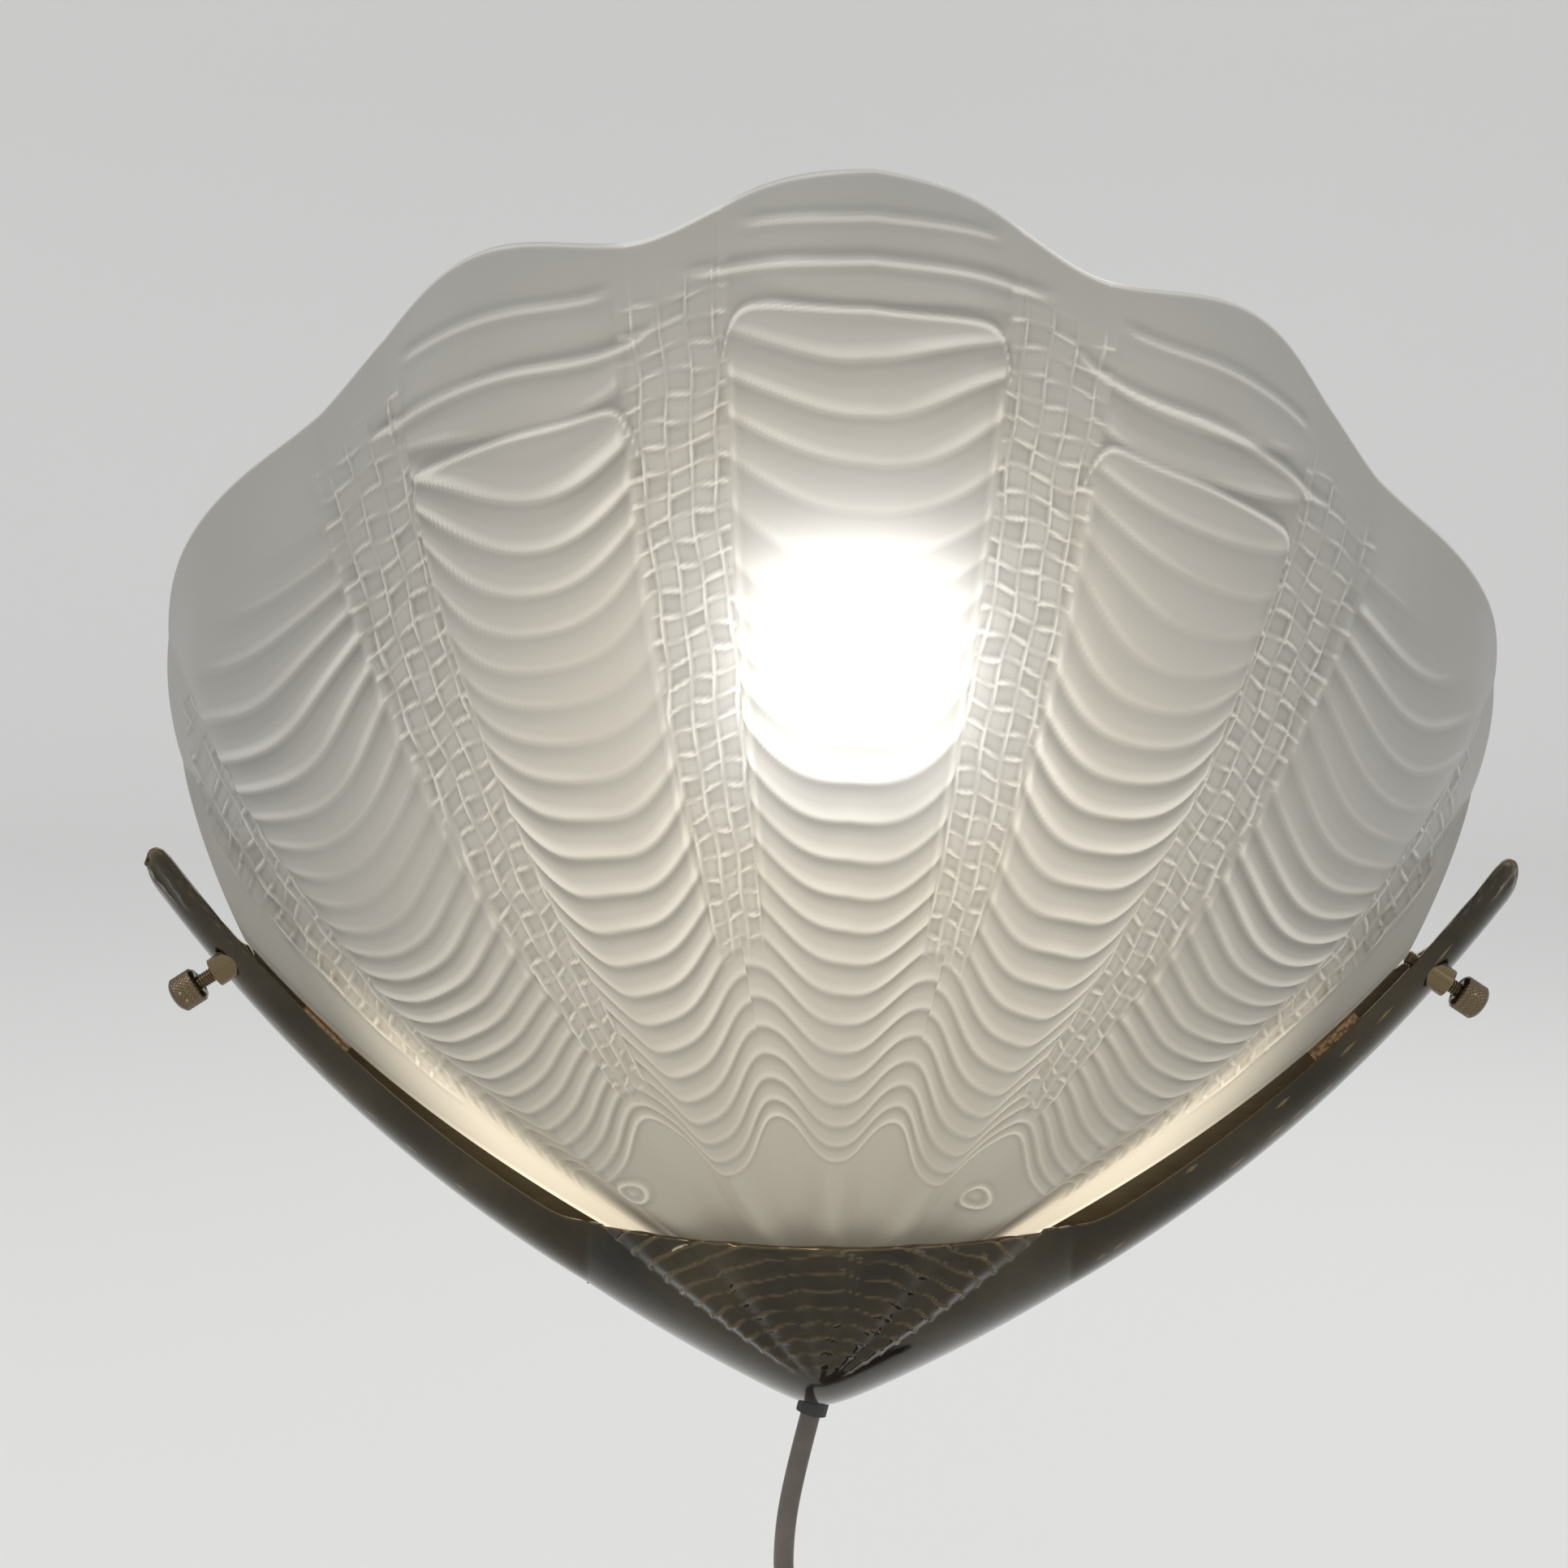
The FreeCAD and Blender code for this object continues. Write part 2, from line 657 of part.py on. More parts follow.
def coil_path():
    quarters = round(4 * (coil_turns_in + coil_turns_out))
    turns = [k / 4 for k in range(quarters + 1)]
    points = [coil_point(turn) for turn in turns]
    directions = [Vector(1, 0, 0)] + [coil_direction(turn) for turn in turns[1:-1]] + [Vector(0, 0, -1)]
    edges = [Part.makeLine(points[0] - directions[0] * flex_diameter, points[0])]
    for k in range(quarters):
        edges += biarc(points[k], directions[k], points[k + 1], directions[k + 1])
    edges.append(Part.makeLine(points[-1], points[-1] + directions[-1] * coil_tail))
    return Part.Wire(edges)


# two arcs that leave one place along its direction and meet the next along its own
def biarc(start, start_direction, end, end_direction):
    chord = end - start
    both = start_direction + end_direction
    square = 2 * (1 - start_direction.dot(end_direction))
    mixed = chord.dot(both)
    reach = (-mixed + math.sqrt(mixed * mixed + square * chord.dot(chord))) / square
    first_corner = start + start_direction * reach
    last_corner = end - end_direction * reach
    joint = (first_corner + last_corner) * 0.5
    arcs = []
    for a, corner, b in ((start, first_corner, joint), (joint, last_corner, end)):
        half_turn = (corner - a).getAngle(b - corner) / 2
        tangent = (corner - a).Length
        radius = tangent / math.tan(half_turn)
        inward = ((b - corner).normalize() - (corner - a).normalize()).normalize()
        middle = corner + inward * (radius / math.cos(half_turn) - radius)
        arcs.append(Part.Arc(a, middle, b).toShape())
    return arcs


def make_cord_coil():
    path = coil_path()
    solid = sweep(path, Vector(1, 0, 0), flex_diameter / 2, coil_sides)
    count = 800
    samples = path.discretize(Number=count)
    apart = int(50 * count / path.Length)
    least = min(samples[i].distanceToPoint(samples[j])
                for i in range(0, count, 2) for j in range(i + apart, count, 2))
    print("cord_coil length", round(path.Length, 1), "least gap to itself", round(least - flex_diameter, 2))
    return solid


# a strap round all the turns, a little right of the coil's top
def make_coil_tie():
    outer = coil_inner_radius + coil_pitch * coil_turns_in + flex_diameter / 2
    inner = coil_inner_radius + coil_pitch / 2 - flex_diameter / 2 - 1.5 * tie_sheet
    near = flex_drop[-1][1] - flex_diameter / 2
    far = near + coil_layer_step + flex_diameter
    strap = Part.makeBox(tie_width, far - near + 2 * tie_sheet, outer - inner + 2 * tie_sheet,
                         Vector(-tie_width / 2, -far - tie_sheet, inner - tie_sheet))
    room = Part.makeBox(2 * tie_width, far - near, outer - inner, Vector(-tie_width, -far, inner))
    tie = strap.cut(room)
    tie.rotate(Vector(0, 0, 0), Vector(0, 1, 0), 360 * tie_turn)
    tie.translate(coil_middle)
    return tie


# ---------------------------------------------------------------- plug

def plug_place(below):
    x, depth, z = coil_end
    return at(x, depth, z - coil_tail - below)


# one eight-cornered ring of the plug's body
def plug_ring(below, width, thickness, chamfer):
    half, deep = width / 2, thickness / 2
    corners = [(half, deep - chamfer), (half - chamfer, deep), (chamfer - half, deep), (-half, deep - chamfer),
               (-half, chamfer - deep), (chamfer - half, -deep), (half - chamfer, -deep), (half, chamfer - deep)]
    return [plug_place(below) + Vector(x, y, 0) for x, y in corners + corners[:1]]


def make_plug_body():
    tip_radius, foot_radius, length = plug_relief
    down = Vector(0, 0, -1)
    relief = ringed_solid([ring_points(plug_place(0), down, tip_radius, bar_sides),
                           ring_points(plug_place(length), down, foot_radius, bar_sides)])
    body = ringed_solid([plug_ring(*ring) for ring in plug_rings]).fuse(relief)
    for pin in make_plug_pins().Solids:
        body = body.cut(pin)
    return body


def make_plug_pins():
    return Part.makeCompound([bar(plug_place(plug_pin_end) + Vector(side * plug_pin_reach, 0, 0), Vector(0, 0, 1),
                                  plug_pin_radius, plug_pin_end - plug_pin_start) for side in (-1, 1)])


# ---------------------------------------------------------------- flex inside the lamp

def make_inner_cord():
    return make_route(flex_inside, flex_diameter, "inner_cord", coil_sides)


# the bush leans with the flex that it holds
def bush_direction():
    return (at(*flex_inside[1]) - at(*flex_inside[0])).normalize()


def make_cord_bush():
    mouth = at(*flex_exit)
    direction = bush_direction()
    places = [(0, bush_radius), (bush_collar, bush_radius), (bush_length, bush_tip_radius)]
    bush = ringed_solid([ring_points(mouth + direction * place, direction, radius, bar_sides)
                         for place, radius in places])
    return bush.cut(tube(mouth, direction, flex_diameter / 2, bush_length))


def make_cord_clamp():
    x, depth = flex_inside[2][:2]
    width, height = clamp_size
    low = clamp_z - height / 2
    wrap = flex_diameter / 2 + clamp_sheet
    clamp = Part.makeBox(width, clamp_sheet, height, at(x - width / 2, plate_thickness + clamp_sheet, low))
    legs = Part.makeBox(2 * wrap, depth - plate_thickness, height, at(x - wrap, depth, low))
    hump = bar(at(x, depth, low), Vector(0, 0, 1), wrap, height)
    hump = hump.common(Part.makeBox(4 * wrap, 2 * wrap, height, at(x - 2 * wrap, depth + 2 * wrap, low)))
    clamp = clamp.fuse([legs, hump]).removeSplitter()
    room = Part.makeBox(flex_diameter, depth, height, at(x - flex_diameter / 2, depth, low))
    clamp = clamp.cut([tube(at(x, depth, low), Vector(0, 0, 1), flex_diameter / 2, height), room])
    for side in (-1, 1):
        clamp = clamp.cut(bar(at(x + side * clamp_screw_reach, 0, clamp_z), Vector(0, -1, 0),
                              clamp_screw_diameter / 2, width))
    return clamp


def make_clamp_screws():
    x = flex_inside[2][0]
    return Part.makeCompound([headed(at(x + side * clamp_screw_reach, plate_thickness, clamp_z), Vector(0, -1, 0),
                                     clamp_screw_diameter, clamp_sheet, clamp_screw_head) for side in (-1, 1)])


def make_wire(side, name):
    route = [(side * x, lamp_depth, bracket_z + height) for x, height in wire_route]
    return make_route(route, wire_diameter, name, wire_sides)


# cork between the arm and the glass edge, below each thumbscrew
def make_cork_pad(side, holder):
    x = cork_x
    slope = math.atan2(dish_outline(x + 3) - dish_outline(x - 3), 6)
    low = dish_outline(x) + cork_rise
    along = Vector(side * math.cos(slope), 0, math.sin(slope))
    across = Vector(-side * math.sin(slope), 0, math.cos(slope))
    middle = at(side * x, screw_depth + 2.5, low)
    corners = [middle - along * (cork_length / 2), middle + along * (cork_length / 2)]
    corners += [corner + across * cork_thickness[side] for corner in reversed(corners)]
    pad = Part.Face(Part.makePolygon(corners + corners[:1])).extrude(Vector(0, cork_depth, 0))
    return max(pad.cut(holder).Solids, key=lambda solid: solid.Volume)


os.makedirs("parts", exist_ok=True)
save(make_glass_shell(), "glass_shell")
glass_holder = make_glass_holder()
save(glass_holder, "glass_holder")
save(make_wall_plate(), "wall_plate")
for side, word in ((-1, "left"), (1, "right")):
    save(make_screw_bush(side), word + "_screw_bush")
    save(make_screw_shank(side), word + "_screw_shank")
    save(make_screw_knob(side), word + "_screw_knob")
    save(make_cork_pad(side, glass_holder), word + "_cork_pad")
save(make_bracket(), "lampholder_bracket")
save(make_bracket_rivets(), "bracket_rivets")
save(make_nipple(), "lampholder_nipple")
save(make_nipple_nut(), "nipple_nut")
save(make_holder_cap(), "lampholder_cap")
save(make_holder_insert(), "lampholder_insert")
save(make_holder_thread(), "lampholder_thread")
save(make_holder_contact(), "lampholder_contact")
save(make_holder_skirt(), "lampholder_skirt")
save(make_terminal_screws(), "terminal_screws")
save(make_wire(-1, "live_wire"), "live_wire")
save(make_wire(1, "neutral_wire"), "neutral_wire")
save(make_inner_cord(), "inner_cord")
save(make_cord_clamp(), "cord_clamp")
save(make_clamp_screws(), "clamp_screws")
save(make_cord_bush(), "cord_bush")
save(make_bulb_globe(), "bulb_globe")
save(make_bulb_cap(), "bulb_cap")
save(make_bulb_contact(), "bulb_contact")
save(make_route(flex_drop, flex_diameter, "cord_drop"), "cord_drop")
save(make_cord_coil(), "cord_coil")
save(make_coil_tie(), "coil_tie")
save(make_plug_body(), "plug_body")
save(make_plug_pins(), "plug_pins")
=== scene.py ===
import json
import math

import bpy
import numpy as np
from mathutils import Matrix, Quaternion, Vector


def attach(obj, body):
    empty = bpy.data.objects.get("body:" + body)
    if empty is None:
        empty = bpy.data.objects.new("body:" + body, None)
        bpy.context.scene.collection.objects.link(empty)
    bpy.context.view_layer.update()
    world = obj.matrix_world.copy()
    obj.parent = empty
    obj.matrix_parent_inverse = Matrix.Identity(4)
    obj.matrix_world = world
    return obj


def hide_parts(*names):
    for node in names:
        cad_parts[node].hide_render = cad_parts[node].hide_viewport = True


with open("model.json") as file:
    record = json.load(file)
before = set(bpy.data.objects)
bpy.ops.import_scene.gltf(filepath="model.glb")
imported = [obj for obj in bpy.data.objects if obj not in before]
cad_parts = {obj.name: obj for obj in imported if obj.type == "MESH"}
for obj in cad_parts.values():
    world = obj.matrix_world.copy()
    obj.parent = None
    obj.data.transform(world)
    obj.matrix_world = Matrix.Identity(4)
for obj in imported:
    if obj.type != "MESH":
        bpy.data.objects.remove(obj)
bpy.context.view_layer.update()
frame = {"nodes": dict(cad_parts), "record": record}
cadNodes = frame["nodes"]
mm = 0.001    # the shapes below are worked out in millimetres and placed in metres
print("frame loaded with", len(cadNodes), "CAD nodes")


def addObject(name, data):
    thing = bpy.data.objects.new(name, data)
    bpy.context.scene.collection.objects.link(thing)
    return thing


# camera, from the photograph's viewing angle

camera = {
    "lens": 70.0,
    "sensor": 36.0,
    "target": Vector((-0.013, -0.060, 0.054)),
    "distance": 0.751,
    "elevation": 5.0,    # degrees above level
    "roll": 0.5,         # degrees, the photo was taken slightly tilted
}


def placeCamera():
    elevation = math.radians(camera["elevation"])
    forward = Vector((0, math.cos(elevation), -math.sin(elevation)))
    data = bpy.data.cameras.new("sconceCamera")
    data.lens = camera["lens"]
    data.sensor_width = camera["sensor"]
    data.clip_start = 0.01
    data.clip_end = 60
    holder = addObject("sconceCamera", data)
    holder.location = camera["target"] - forward * camera["distance"]
    holder.rotation_mode = "QUATERNION"
    tilt = Quaternion((0, 0, 1), math.radians(camera["roll"]))
    holder.rotation_quaternion = forward.to_track_quat("-Z", "Y") @ tilt
    bpy.context.scene.camera = holder


placeCamera()
print("camera placed")


# materials: every finish is a Principled shader, most with their own noise and a fine bump, the dark brass
# with wear too
def newFinish(name):
    finish = bpy.data.materials.new(name)
    finish.use_nodes = True
    tree = finish.node_tree
    shader = tree.nodes["Principled BSDF"]
    return finish, tree, shader


def addNode(tree, kind, **settings):
    node = tree.nodes.new(kind)
    for key, value in settings.items():
        if key in node.inputs:
            node.inputs[key].default_value = value
        else:
            setattr(node, key, value)
    return node


def feed(node, socket, source):
    node.id_data.links.new(source, node.inputs[socket])


# sets what is the same all over a surface on the node's own sockets
def fix(node, values):
    for socket, value in values.items():
        node.inputs[socket].default_value = value


def objectPlaces(tree):
    return addNode(tree, "ShaderNodeTexCoord").outputs["Object"]


def noiseOf(tree, scale, detail=4.0, roughness=0.55, places=None):
    node = addNode(tree, "ShaderNodeTexNoise", Scale=scale, Detail=detail, Roughness=roughness)
    feed(node, "Vector", places or objectPlaces(tree))
    return node.outputs["Fac"]


def rampOf(tree, factor, stops):
    node = addNode(tree, "ShaderNodeValToRGB")
    feed(node, "Fac", factor)
    elements = node.color_ramp.elements
    while len(elements) < len(stops):
        elements.new(0.5)
    for element, (place, colour) in zip(elements, stops):
        element.position = place
        element.color = (*colour, 1)
    return node.outputs["Color"]


# maps a factor from one range to another, and holds it there
def spanOf(tree, factor, low, high, fromLow=0.0, fromHigh=1.0):
    node = addNode(tree, "ShaderNodeMapRange")
    feed(node, "Value", factor)
    fix(node, {"From Min": fromLow, "From Max": fromHigh, "To Min": low, "To Max": high})
    return node.outputs["Result"]


def shareBetween(tree, factor, low, high):
    return spanOf(tree, factor, 0.0, 1.0, low, high)


# first and second may each be a socket or a plain number
def mathOf(tree, operation, first, second=0.0):
    node = addNode(tree, "ShaderNodeMath", operation=operation)
    for socket, value in zip(node.inputs, (first, second)):
        if isinstance(value, (int, float)):
            socket.default_value = value
        else:
            tree.links.new(value, socket)
    return node.outputs[0]


def bumpFrom(tree, shader, height, strength, distance):
    node = addNode(tree, "ShaderNodeBump", Strength=strength, Distance=distance)
    feed(node, "Height", height)
    feed(shader, "Normal", node.outputs["Normal"])


def darker(colour, share):
    return tuple(channel * share for channel in colour)


# a solid finish: two tones mottled by noise, uneven gloss and a fine bump
def plainFinish(name, colour, roughness, metallic=0.0, tone=0.82, grain=60.0, fineGrain=900.0,
                bump=0.15, bumpDepth=0.0002, glossSpread=0.08, coat=0.0):
    finish, tree, shader = newFinish(name)
    mottle = noiseOf(tree, grain)
    colours = rampOf(tree, mottle, [(0.3, darker(colour, tone)), (0.7, colour)])
    feed(shader, "Base Color", colours)
    gloss = spanOf(tree, noiseOf(tree, grain * 2.3), roughness - glossSpread, roughness + glossSpread)
    feed(shader, "Roughness", gloss)
    fix(shader, {"Metallic": metallic, "Coat Weight": coat})
    bumpFrom(tree, shader, noiseOf(tree, fineGrain), bump, bumpDepth)
    return finish


# polished brass toned dark: brown lacquer that thins on the ridges, with cloudy smudges
def darkBrassFinish(name, deep, worn, roughness):
    finish, tree, shader = newFinish(name)
    places = objectPlaces(tree)
    cloud = noiseOf(tree, 28.0, 6.0, 0.6, places)
    edge = addNode(tree, "ShaderNodeNewGeometry").outputs["Pointiness"]
    edgeWear = shareBetween(tree, edge, 0.51, 0.62)
    wear = mathOf(tree, "ADD", mathOf(tree, "MULTIPLY", cloud, 0.45), edgeWear)
    between = tuple(0.5 * (dark + light) for dark, light in zip(deep, worn))
    feed(shader, "Base Color", rampOf(tree, wear, [(0.12, deep), (0.42, between), (0.95, worn)]))
    smudge = noiseOf(tree, 90.0, 5.0, 0.6, places)
    feed(shader, "Roughness", spanOf(tree, smudge, roughness * 0.6, roughness * 1.7))
    fix(shader, {"Metallic": 1.0, "Coat Weight": 0.25, "Coat Roughness": 0.08})
    bumpFrom(tree, shader, noiseOf(tree, 420.0, 3.0, 0.5, places), 0.08, 0.0003)
    return finish


def corkFinish(name):
    finish, tree, shader = newFinish(name)
    places = objectPlaces(tree)
    cells = addNode(tree, "ShaderNodeTexVoronoi", Scale=900.0)
    feed(cells, "Vector", places)
    feed(shader, "Base Color", rampOf(tree, cells.outputs["Distance"], [
        (0.0, (0.62, 0.42, 0.24)), (0.45, (0.50, 0.32, 0.17)), (0.8, (0.22, 0.13, 0.07))]))
    fix(shader, {"Roughness": 0.9})
    bumpFrom(tree, shader, cells.outputs["Distance"], 0.5, 0.0004)
    return finish


# brushed or rolled metal: fine streaks along one axis under broad clouds
def streakedMetalFinish(name, colour, roughness, stretch, tone=0.72, grain=60.0):
    finish, tree, shader = newFinish(name)
    spread = addNode(tree, "ShaderNodeMapping", Scale=stretch)
    feed(spread, "Vector", objectPlaces(tree))
    streaks = noiseOf(tree, grain, 6.0, 0.65, spread.outputs["Vector"])
    clouds = noiseOf(tree, 13.0, 5.0, 0.62)    # handling leaves it unevenly dull
    dulled = mathOf(tree, "MULTIPLY", clouds, 0.55)
    tones = mathOf(tree, "ADD", mathOf(tree, "MULTIPLY", streaks, 0.45), dulled)
    feed(shader, "Base Color", rampOf(tree, tones, [(0.32, darker(colour, tone)), (0.64, colour)]))
    feed(shader, "Roughness", spanOf(tree, streaks, roughness - 0.08, roughness + 0.12))
    fix(shader, {"Metallic": 1.0})
    bumpFrom(tree, shader, streaks, 0.12, 0.0002)
    return finish


# the lamp's light as it shows in the glass: strongest in front of the globe, warm and broad lower down
glassLook = {
    # painted shade in the creases, the glass's own tone where it is flat, and a painted highlight on the
    # ridges
    "groove": (0.235, 0.231, 0.219),
    "plain": (0.350, 0.345, 0.328),
    "ridge": (0.62, 0.613, 0.588),
    # painted warm lamp light lower down, tinting the base colour
    "paintedLowWarmTint": (1.0, 0.928, 0.750),
    "lowBetween": (0.05, -0.09),       # heights in metres where the low tint begins and is full
    "lampWhite": (1.0, 0.98, 0.93),
    "lampTint": (1.0, 0.87, 0.655),
    "tintBetween": (0.02, 0.055),      # metres from the lamp
    "farGlow": 0.02,
    "sideGlow": 0.60,                  # what the dish throws back onto the flanges along the lower edges
    "creaseShare": 0.62,               # how much of the glow shows in a crease
    "ridgeShare": 1.5,                 # and on a ridge
    "lampPlace": (0.003, -0.120, 0.0895),
    "lampRings": 2.6,                  # 2 gives round rings of light, more gives squarer ones
    "broadPlace": (-0.004, -0.110, 0.038),
    "broadRings": 2.0,
    "glows": [                         # which light, reach in metres, strength, power
        ("lamp", 0.055, 0.24, 1.5),
        ("lamp", 0.024, 1.25, 3.2),
        ("broad", 0.112, 0.18, 3.0),
    ],
}


# how much of the lamp's glow reaches a place: strength times exp(-(distance / reach) ** power)
def glowFrom(tree, distance, reach, strength, power):
    raised = mathOf(tree, "POWER", mathOf(tree, "DIVIDE", distance, reach), power)
    bell = mathOf(tree, "EXPONENT", mathOf(tree, "MULTIPLY", raised, -1.0))
    return mathOf(tree, "MULTIPLY", bell, strength)


def partsOf(tree, vector):
    node = addNode(tree, "ShaderNodeSeparateXYZ")
    feed(node, "Vector", vector)
    return node.outputs


# how far places are from one of the lights, seen square to the wall
def distanceFrom(tree, places, light):
    rings = glassLook[light + "Rings"]
    offset = addNode(tree, "ShaderNodeVectorMath", operation="SUBTRACT")
    tree.links.new(places, offset.inputs[0])
    offset.inputs[1].default_value = glassLook[light + "Place"]
    parts = partsOf(tree, offset.outputs["Vector"])
    sideways = mathOf(tree, "POWER", mathOf(tree, "ABSOLUTE", parts["X"]), rings)
    upwards = mathOf(tree, "POWER", mathOf(tree, "ABSOLUTE", parts["Z"]), rings)
    return mathOf(tree, "POWER", mathOf(tree, "ADD", sideways, upwards), 1 / rings)


# the relief-shading attribute is 0 in a crease and 1 on a ridge: painted shade in the creases and a painted
# highlight on the ridges; "flange" is 1 on the flat strips beside the dish, where a painted reflection of
# the dish's light shows
def frostedGlassAndPaintedLight(name):
    finish, tree, shader = newFinish(name)
    places = objectPlaces(tree)
    paintedReliefShading = addNode(tree, "ShaderNodeAttribute", attribute_name="paintedReliefShading").outputs["Fac"]
    flange = addNode(tree, "ShaderNodeAttribute", attribute_name="flange").outputs["Fac"]
    # painted lamp light: the shell glows by emission, strongest in front of the globe and dimmer in the
    # creases, and the flanges beside the dish get a painted reflection of its light
    thrown = mathOf(tree, "MULTIPLY", flange, glassLook["sideGlow"])
    glow = mathOf(tree, "ADD", thrown, glassLook["farGlow"])
    for light, reach, strength, power in glassLook["glows"]:
        away = distanceFrom(tree, places, light)
        glow = mathOf(tree, "ADD", glow, glowFrom(tree, away, reach, strength, power))
    shown = spanOf(tree, paintedReliefShading, glassLook["creaseShare"], glassLook["ridgeShare"])
    feed(shader, "Emission Strength", mathOf(tree, "MULTIPLY", glow, shown))
    # the painted glow's colour: white near the globe, warmer farther out
    outward = shareBetween(tree, distanceFrom(tree, places, "lamp"), *glassLook["tintBetween"])
    feed(shader, "Emission Color",
         rampOf(tree, outward, [(0.0, glassLook["lampWhite"]), (1.0, glassLook["lampTint"])]))

    # base colour: painted shade in the creases and a painted highlight on the ridges
    relief = rampOf(tree, paintedReliefShading, [(0.10, glassLook["groove"]), (0.46, glassLook["plain"]),
                                   (0.60, glassLook["plain"]), (0.98, glassLook["ridge"])])
    # painted lamp light: the base colour turns warmer lower down, unevenly
    lowness = shareBetween(tree, partsOf(tree, places)["Z"], *glassLook["lowBetween"])
    cloud = spanOf(tree, noiseOf(tree, 9.0, 3.0, 0.5, places), 0.5, 1.25)
    paintedLowWarmth = rampOf(tree, mathOf(tree, "MULTIPLY", lowness, cloud),
                    [(0.0, (1.0, 1.0, 1.0)), (1.0, glassLook["paintedLowWarmTint"])])
    tinted = addNode(tree, "ShaderNodeMix", data_type="RGBA", blend_type="MULTIPLY")
    tinted.inputs["Factor"].default_value = 1.0
    tree.links.new(relief, tinted.inputs[6])    # 6, 7 and output 2 are the colour sockets
    tree.links.new(paintedLowWarmth, tinted.inputs[7])
    feed(shader, "Base Color", tinted.outputs[2])
    feed(shader, "Roughness", spanOf(tree, noiseOf(tree, 55.0, 3.0, 0.5, places), 0.32, 0.50))
    fix(shader, {"IOR": 1.5, "Transmission Weight": 0.12})
    bumpFrom(tree, shader, noiseOf(tree, 1500.0, 2.0, 0.5, places), 0.10, 0.0002)
    return finish


# a lit opal bulb: white in the middle, creamier where the glass turns away
def litOpalFinish(name):
    finish, tree, shader = newFinish(name)
    cloud = noiseOf(tree, 40.0)
    feed(shader, "Base Color", rampOf(tree, cloud, [(0.3, (0.60, 0.58, 0.53)), (0.7, (0.66, 0.64, 0.59))]))
    facing = addNode(tree, "ShaderNodeLayerWeight", Blend=0.35).outputs["Facing"]
    glow = rampOf(tree, facing, [(0.0, (1.0, 0.95, 0.84)), (0.9, (0.80, 0.62, 0.38))])
    feed(shader, "Emission Color", glow)
    fix(shader, {"Emission Strength": 0.62})
    feed(shader, "Roughness", spanOf(tree, cloud, 0.10, 0.22))
    bumpFrom(tree, shader, noiseOf(tree, 300.0), 0.03, 0.0002)
    return finish


finishes = {
    "shell_glass": frostedGlassAndPaintedLight("frostedShellGlassAndPaintedLight"),
    "dark_brass": darkBrassFinish("darkPolishedBrass", (0.026, 0.025, 0.020), (0.165, 0.122, 0.064), 0.12),
    "screw_brass": darkBrassFinish("knurledBrass", (0.08, 0.057, 0.034), (0.40, 0.30, 0.17), 0.22),
    "pale_brass": streakedMetalFinish("satinBrassPlate", (0.66, 0.54, 0.35), 0.36, (1.0, 1.0, 14.0), 0.70,
                                      110.0),
    "cork": corkFinish("corkStrip"),
    "plated_steel": streakedMetalFinish("zincPlatedSteel", (0.66, 0.67, 0.66), 0.36, (1.0, 8.0, 1.0)),
    "white_plastic": plainFinish("ivoryHolderPlastic", (0.84, 0.82, 0.76), 0.32, tone=0.94),
    "holder_ceramic": plainFinish("holderCeramic", (0.86, 0.85, 0.81), 0.25, tone=0.93, coat=0.4),
    "contact_brass": plainFinish("contactBrass", (0.78, 0.60, 0.30), 0.28, metallic=1.0, tone=0.75),
    "live_pvc": plainFinish("brownWireSheath", (0.26, 0.13, 0.07), 0.45),
    "neutral_pvc": plainFinish("blueWireSheath", (0.07, 0.17, 0.45), 0.45),
    "flex_pvc": plainFinish("darkFlexSheath", (0.135, 0.110, 0.092), 0.52, tone=0.72, grain=120.0, bump=0.3),
    "bush_rubber": plainFinish("blackBushRubber", (0.035, 0.034, 0.033), 0.62, tone=0.8, bump=0.35),
    "opal_glass": litOpalFinish("litOpalGlass"),
    "lamp_cap": streakedMetalFinish("rolledLampCap", (0.74, 0.73, 0.71), 0.28, (1.0, 1.0, 20.0)),
    "tie_plastic": plainFinish("strapNylon", (0.05, 0.05, 0.052), 0.75, tone=0.7, grain=700.0, bump=0.6),
    "plug_plastic": plainFinish("plugPlastic", (0.115, 0.095, 0.082), 0.48, tone=0.78, bump=0.3),
    "pin_brass": plainFinish("plugPinBrass", (0.80, 0.66, 0.36), 0.22, metallic=1.0, tone=0.85),
}
print("finishes made:", len(finishes))

for subpart in frame["record"]["subparts"]:
    cadMaterials = cadNodes[subpart["node"]].data.materials
    cadMaterials.clear()
    cadMaterials.append(finishes[subpart["material_slot"]])
print("CAD nodes dressed")


# a piece that stands for CAD nodes and moves with a body
def addPiece(name, data, slot, body, replaced):
    data.materials.append(finishes[slot])
    piece = addObject(name, data)
    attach(piece, body)
    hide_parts(*replaced)
    return piece


# points is a list or array of millimetre places
def meshPiece(name, points, faces, slot, body, replaced):
    mesh = bpy.data.meshes.new(name)
    mesh.from_pydata([tuple(row) for row in (np.asarray(points, float) * mm).tolist()], [], faces)
    mesh.validate()
    mesh.update()
    mesh.polygons.foreach_set("use_smooth", [True] * len(mesh.polygons))
    return addPiece(name, mesh, slot, body, replaced)


def gridFaces(rows, columns, start=0, wrap=False, flip=False):
    faces = []
    for row in range(rows - 1):
        for column in range(columns if wrap else columns - 1):
            after = (column + 1) % columns
            corners = (start + row * columns + column, start + row * columns + after,
                       start + (row + 1) * columns + after, start + (row + 1) * columns + column)
            faces.append(corners[::-1] if flip else corners)
    return faces


# the four edges of a grid as point numbers
def gridSides(rows, columns, start=0):
    return {
        "low": [start + column for column in range(columns)],
        "high": [start + (rows - 1) * columns + column for column in range(columns)],
        "left": [start + row * columns for row in range(rows)],
        "right": [start + row * columns + columns - 1 for row in range(rows)],
    }


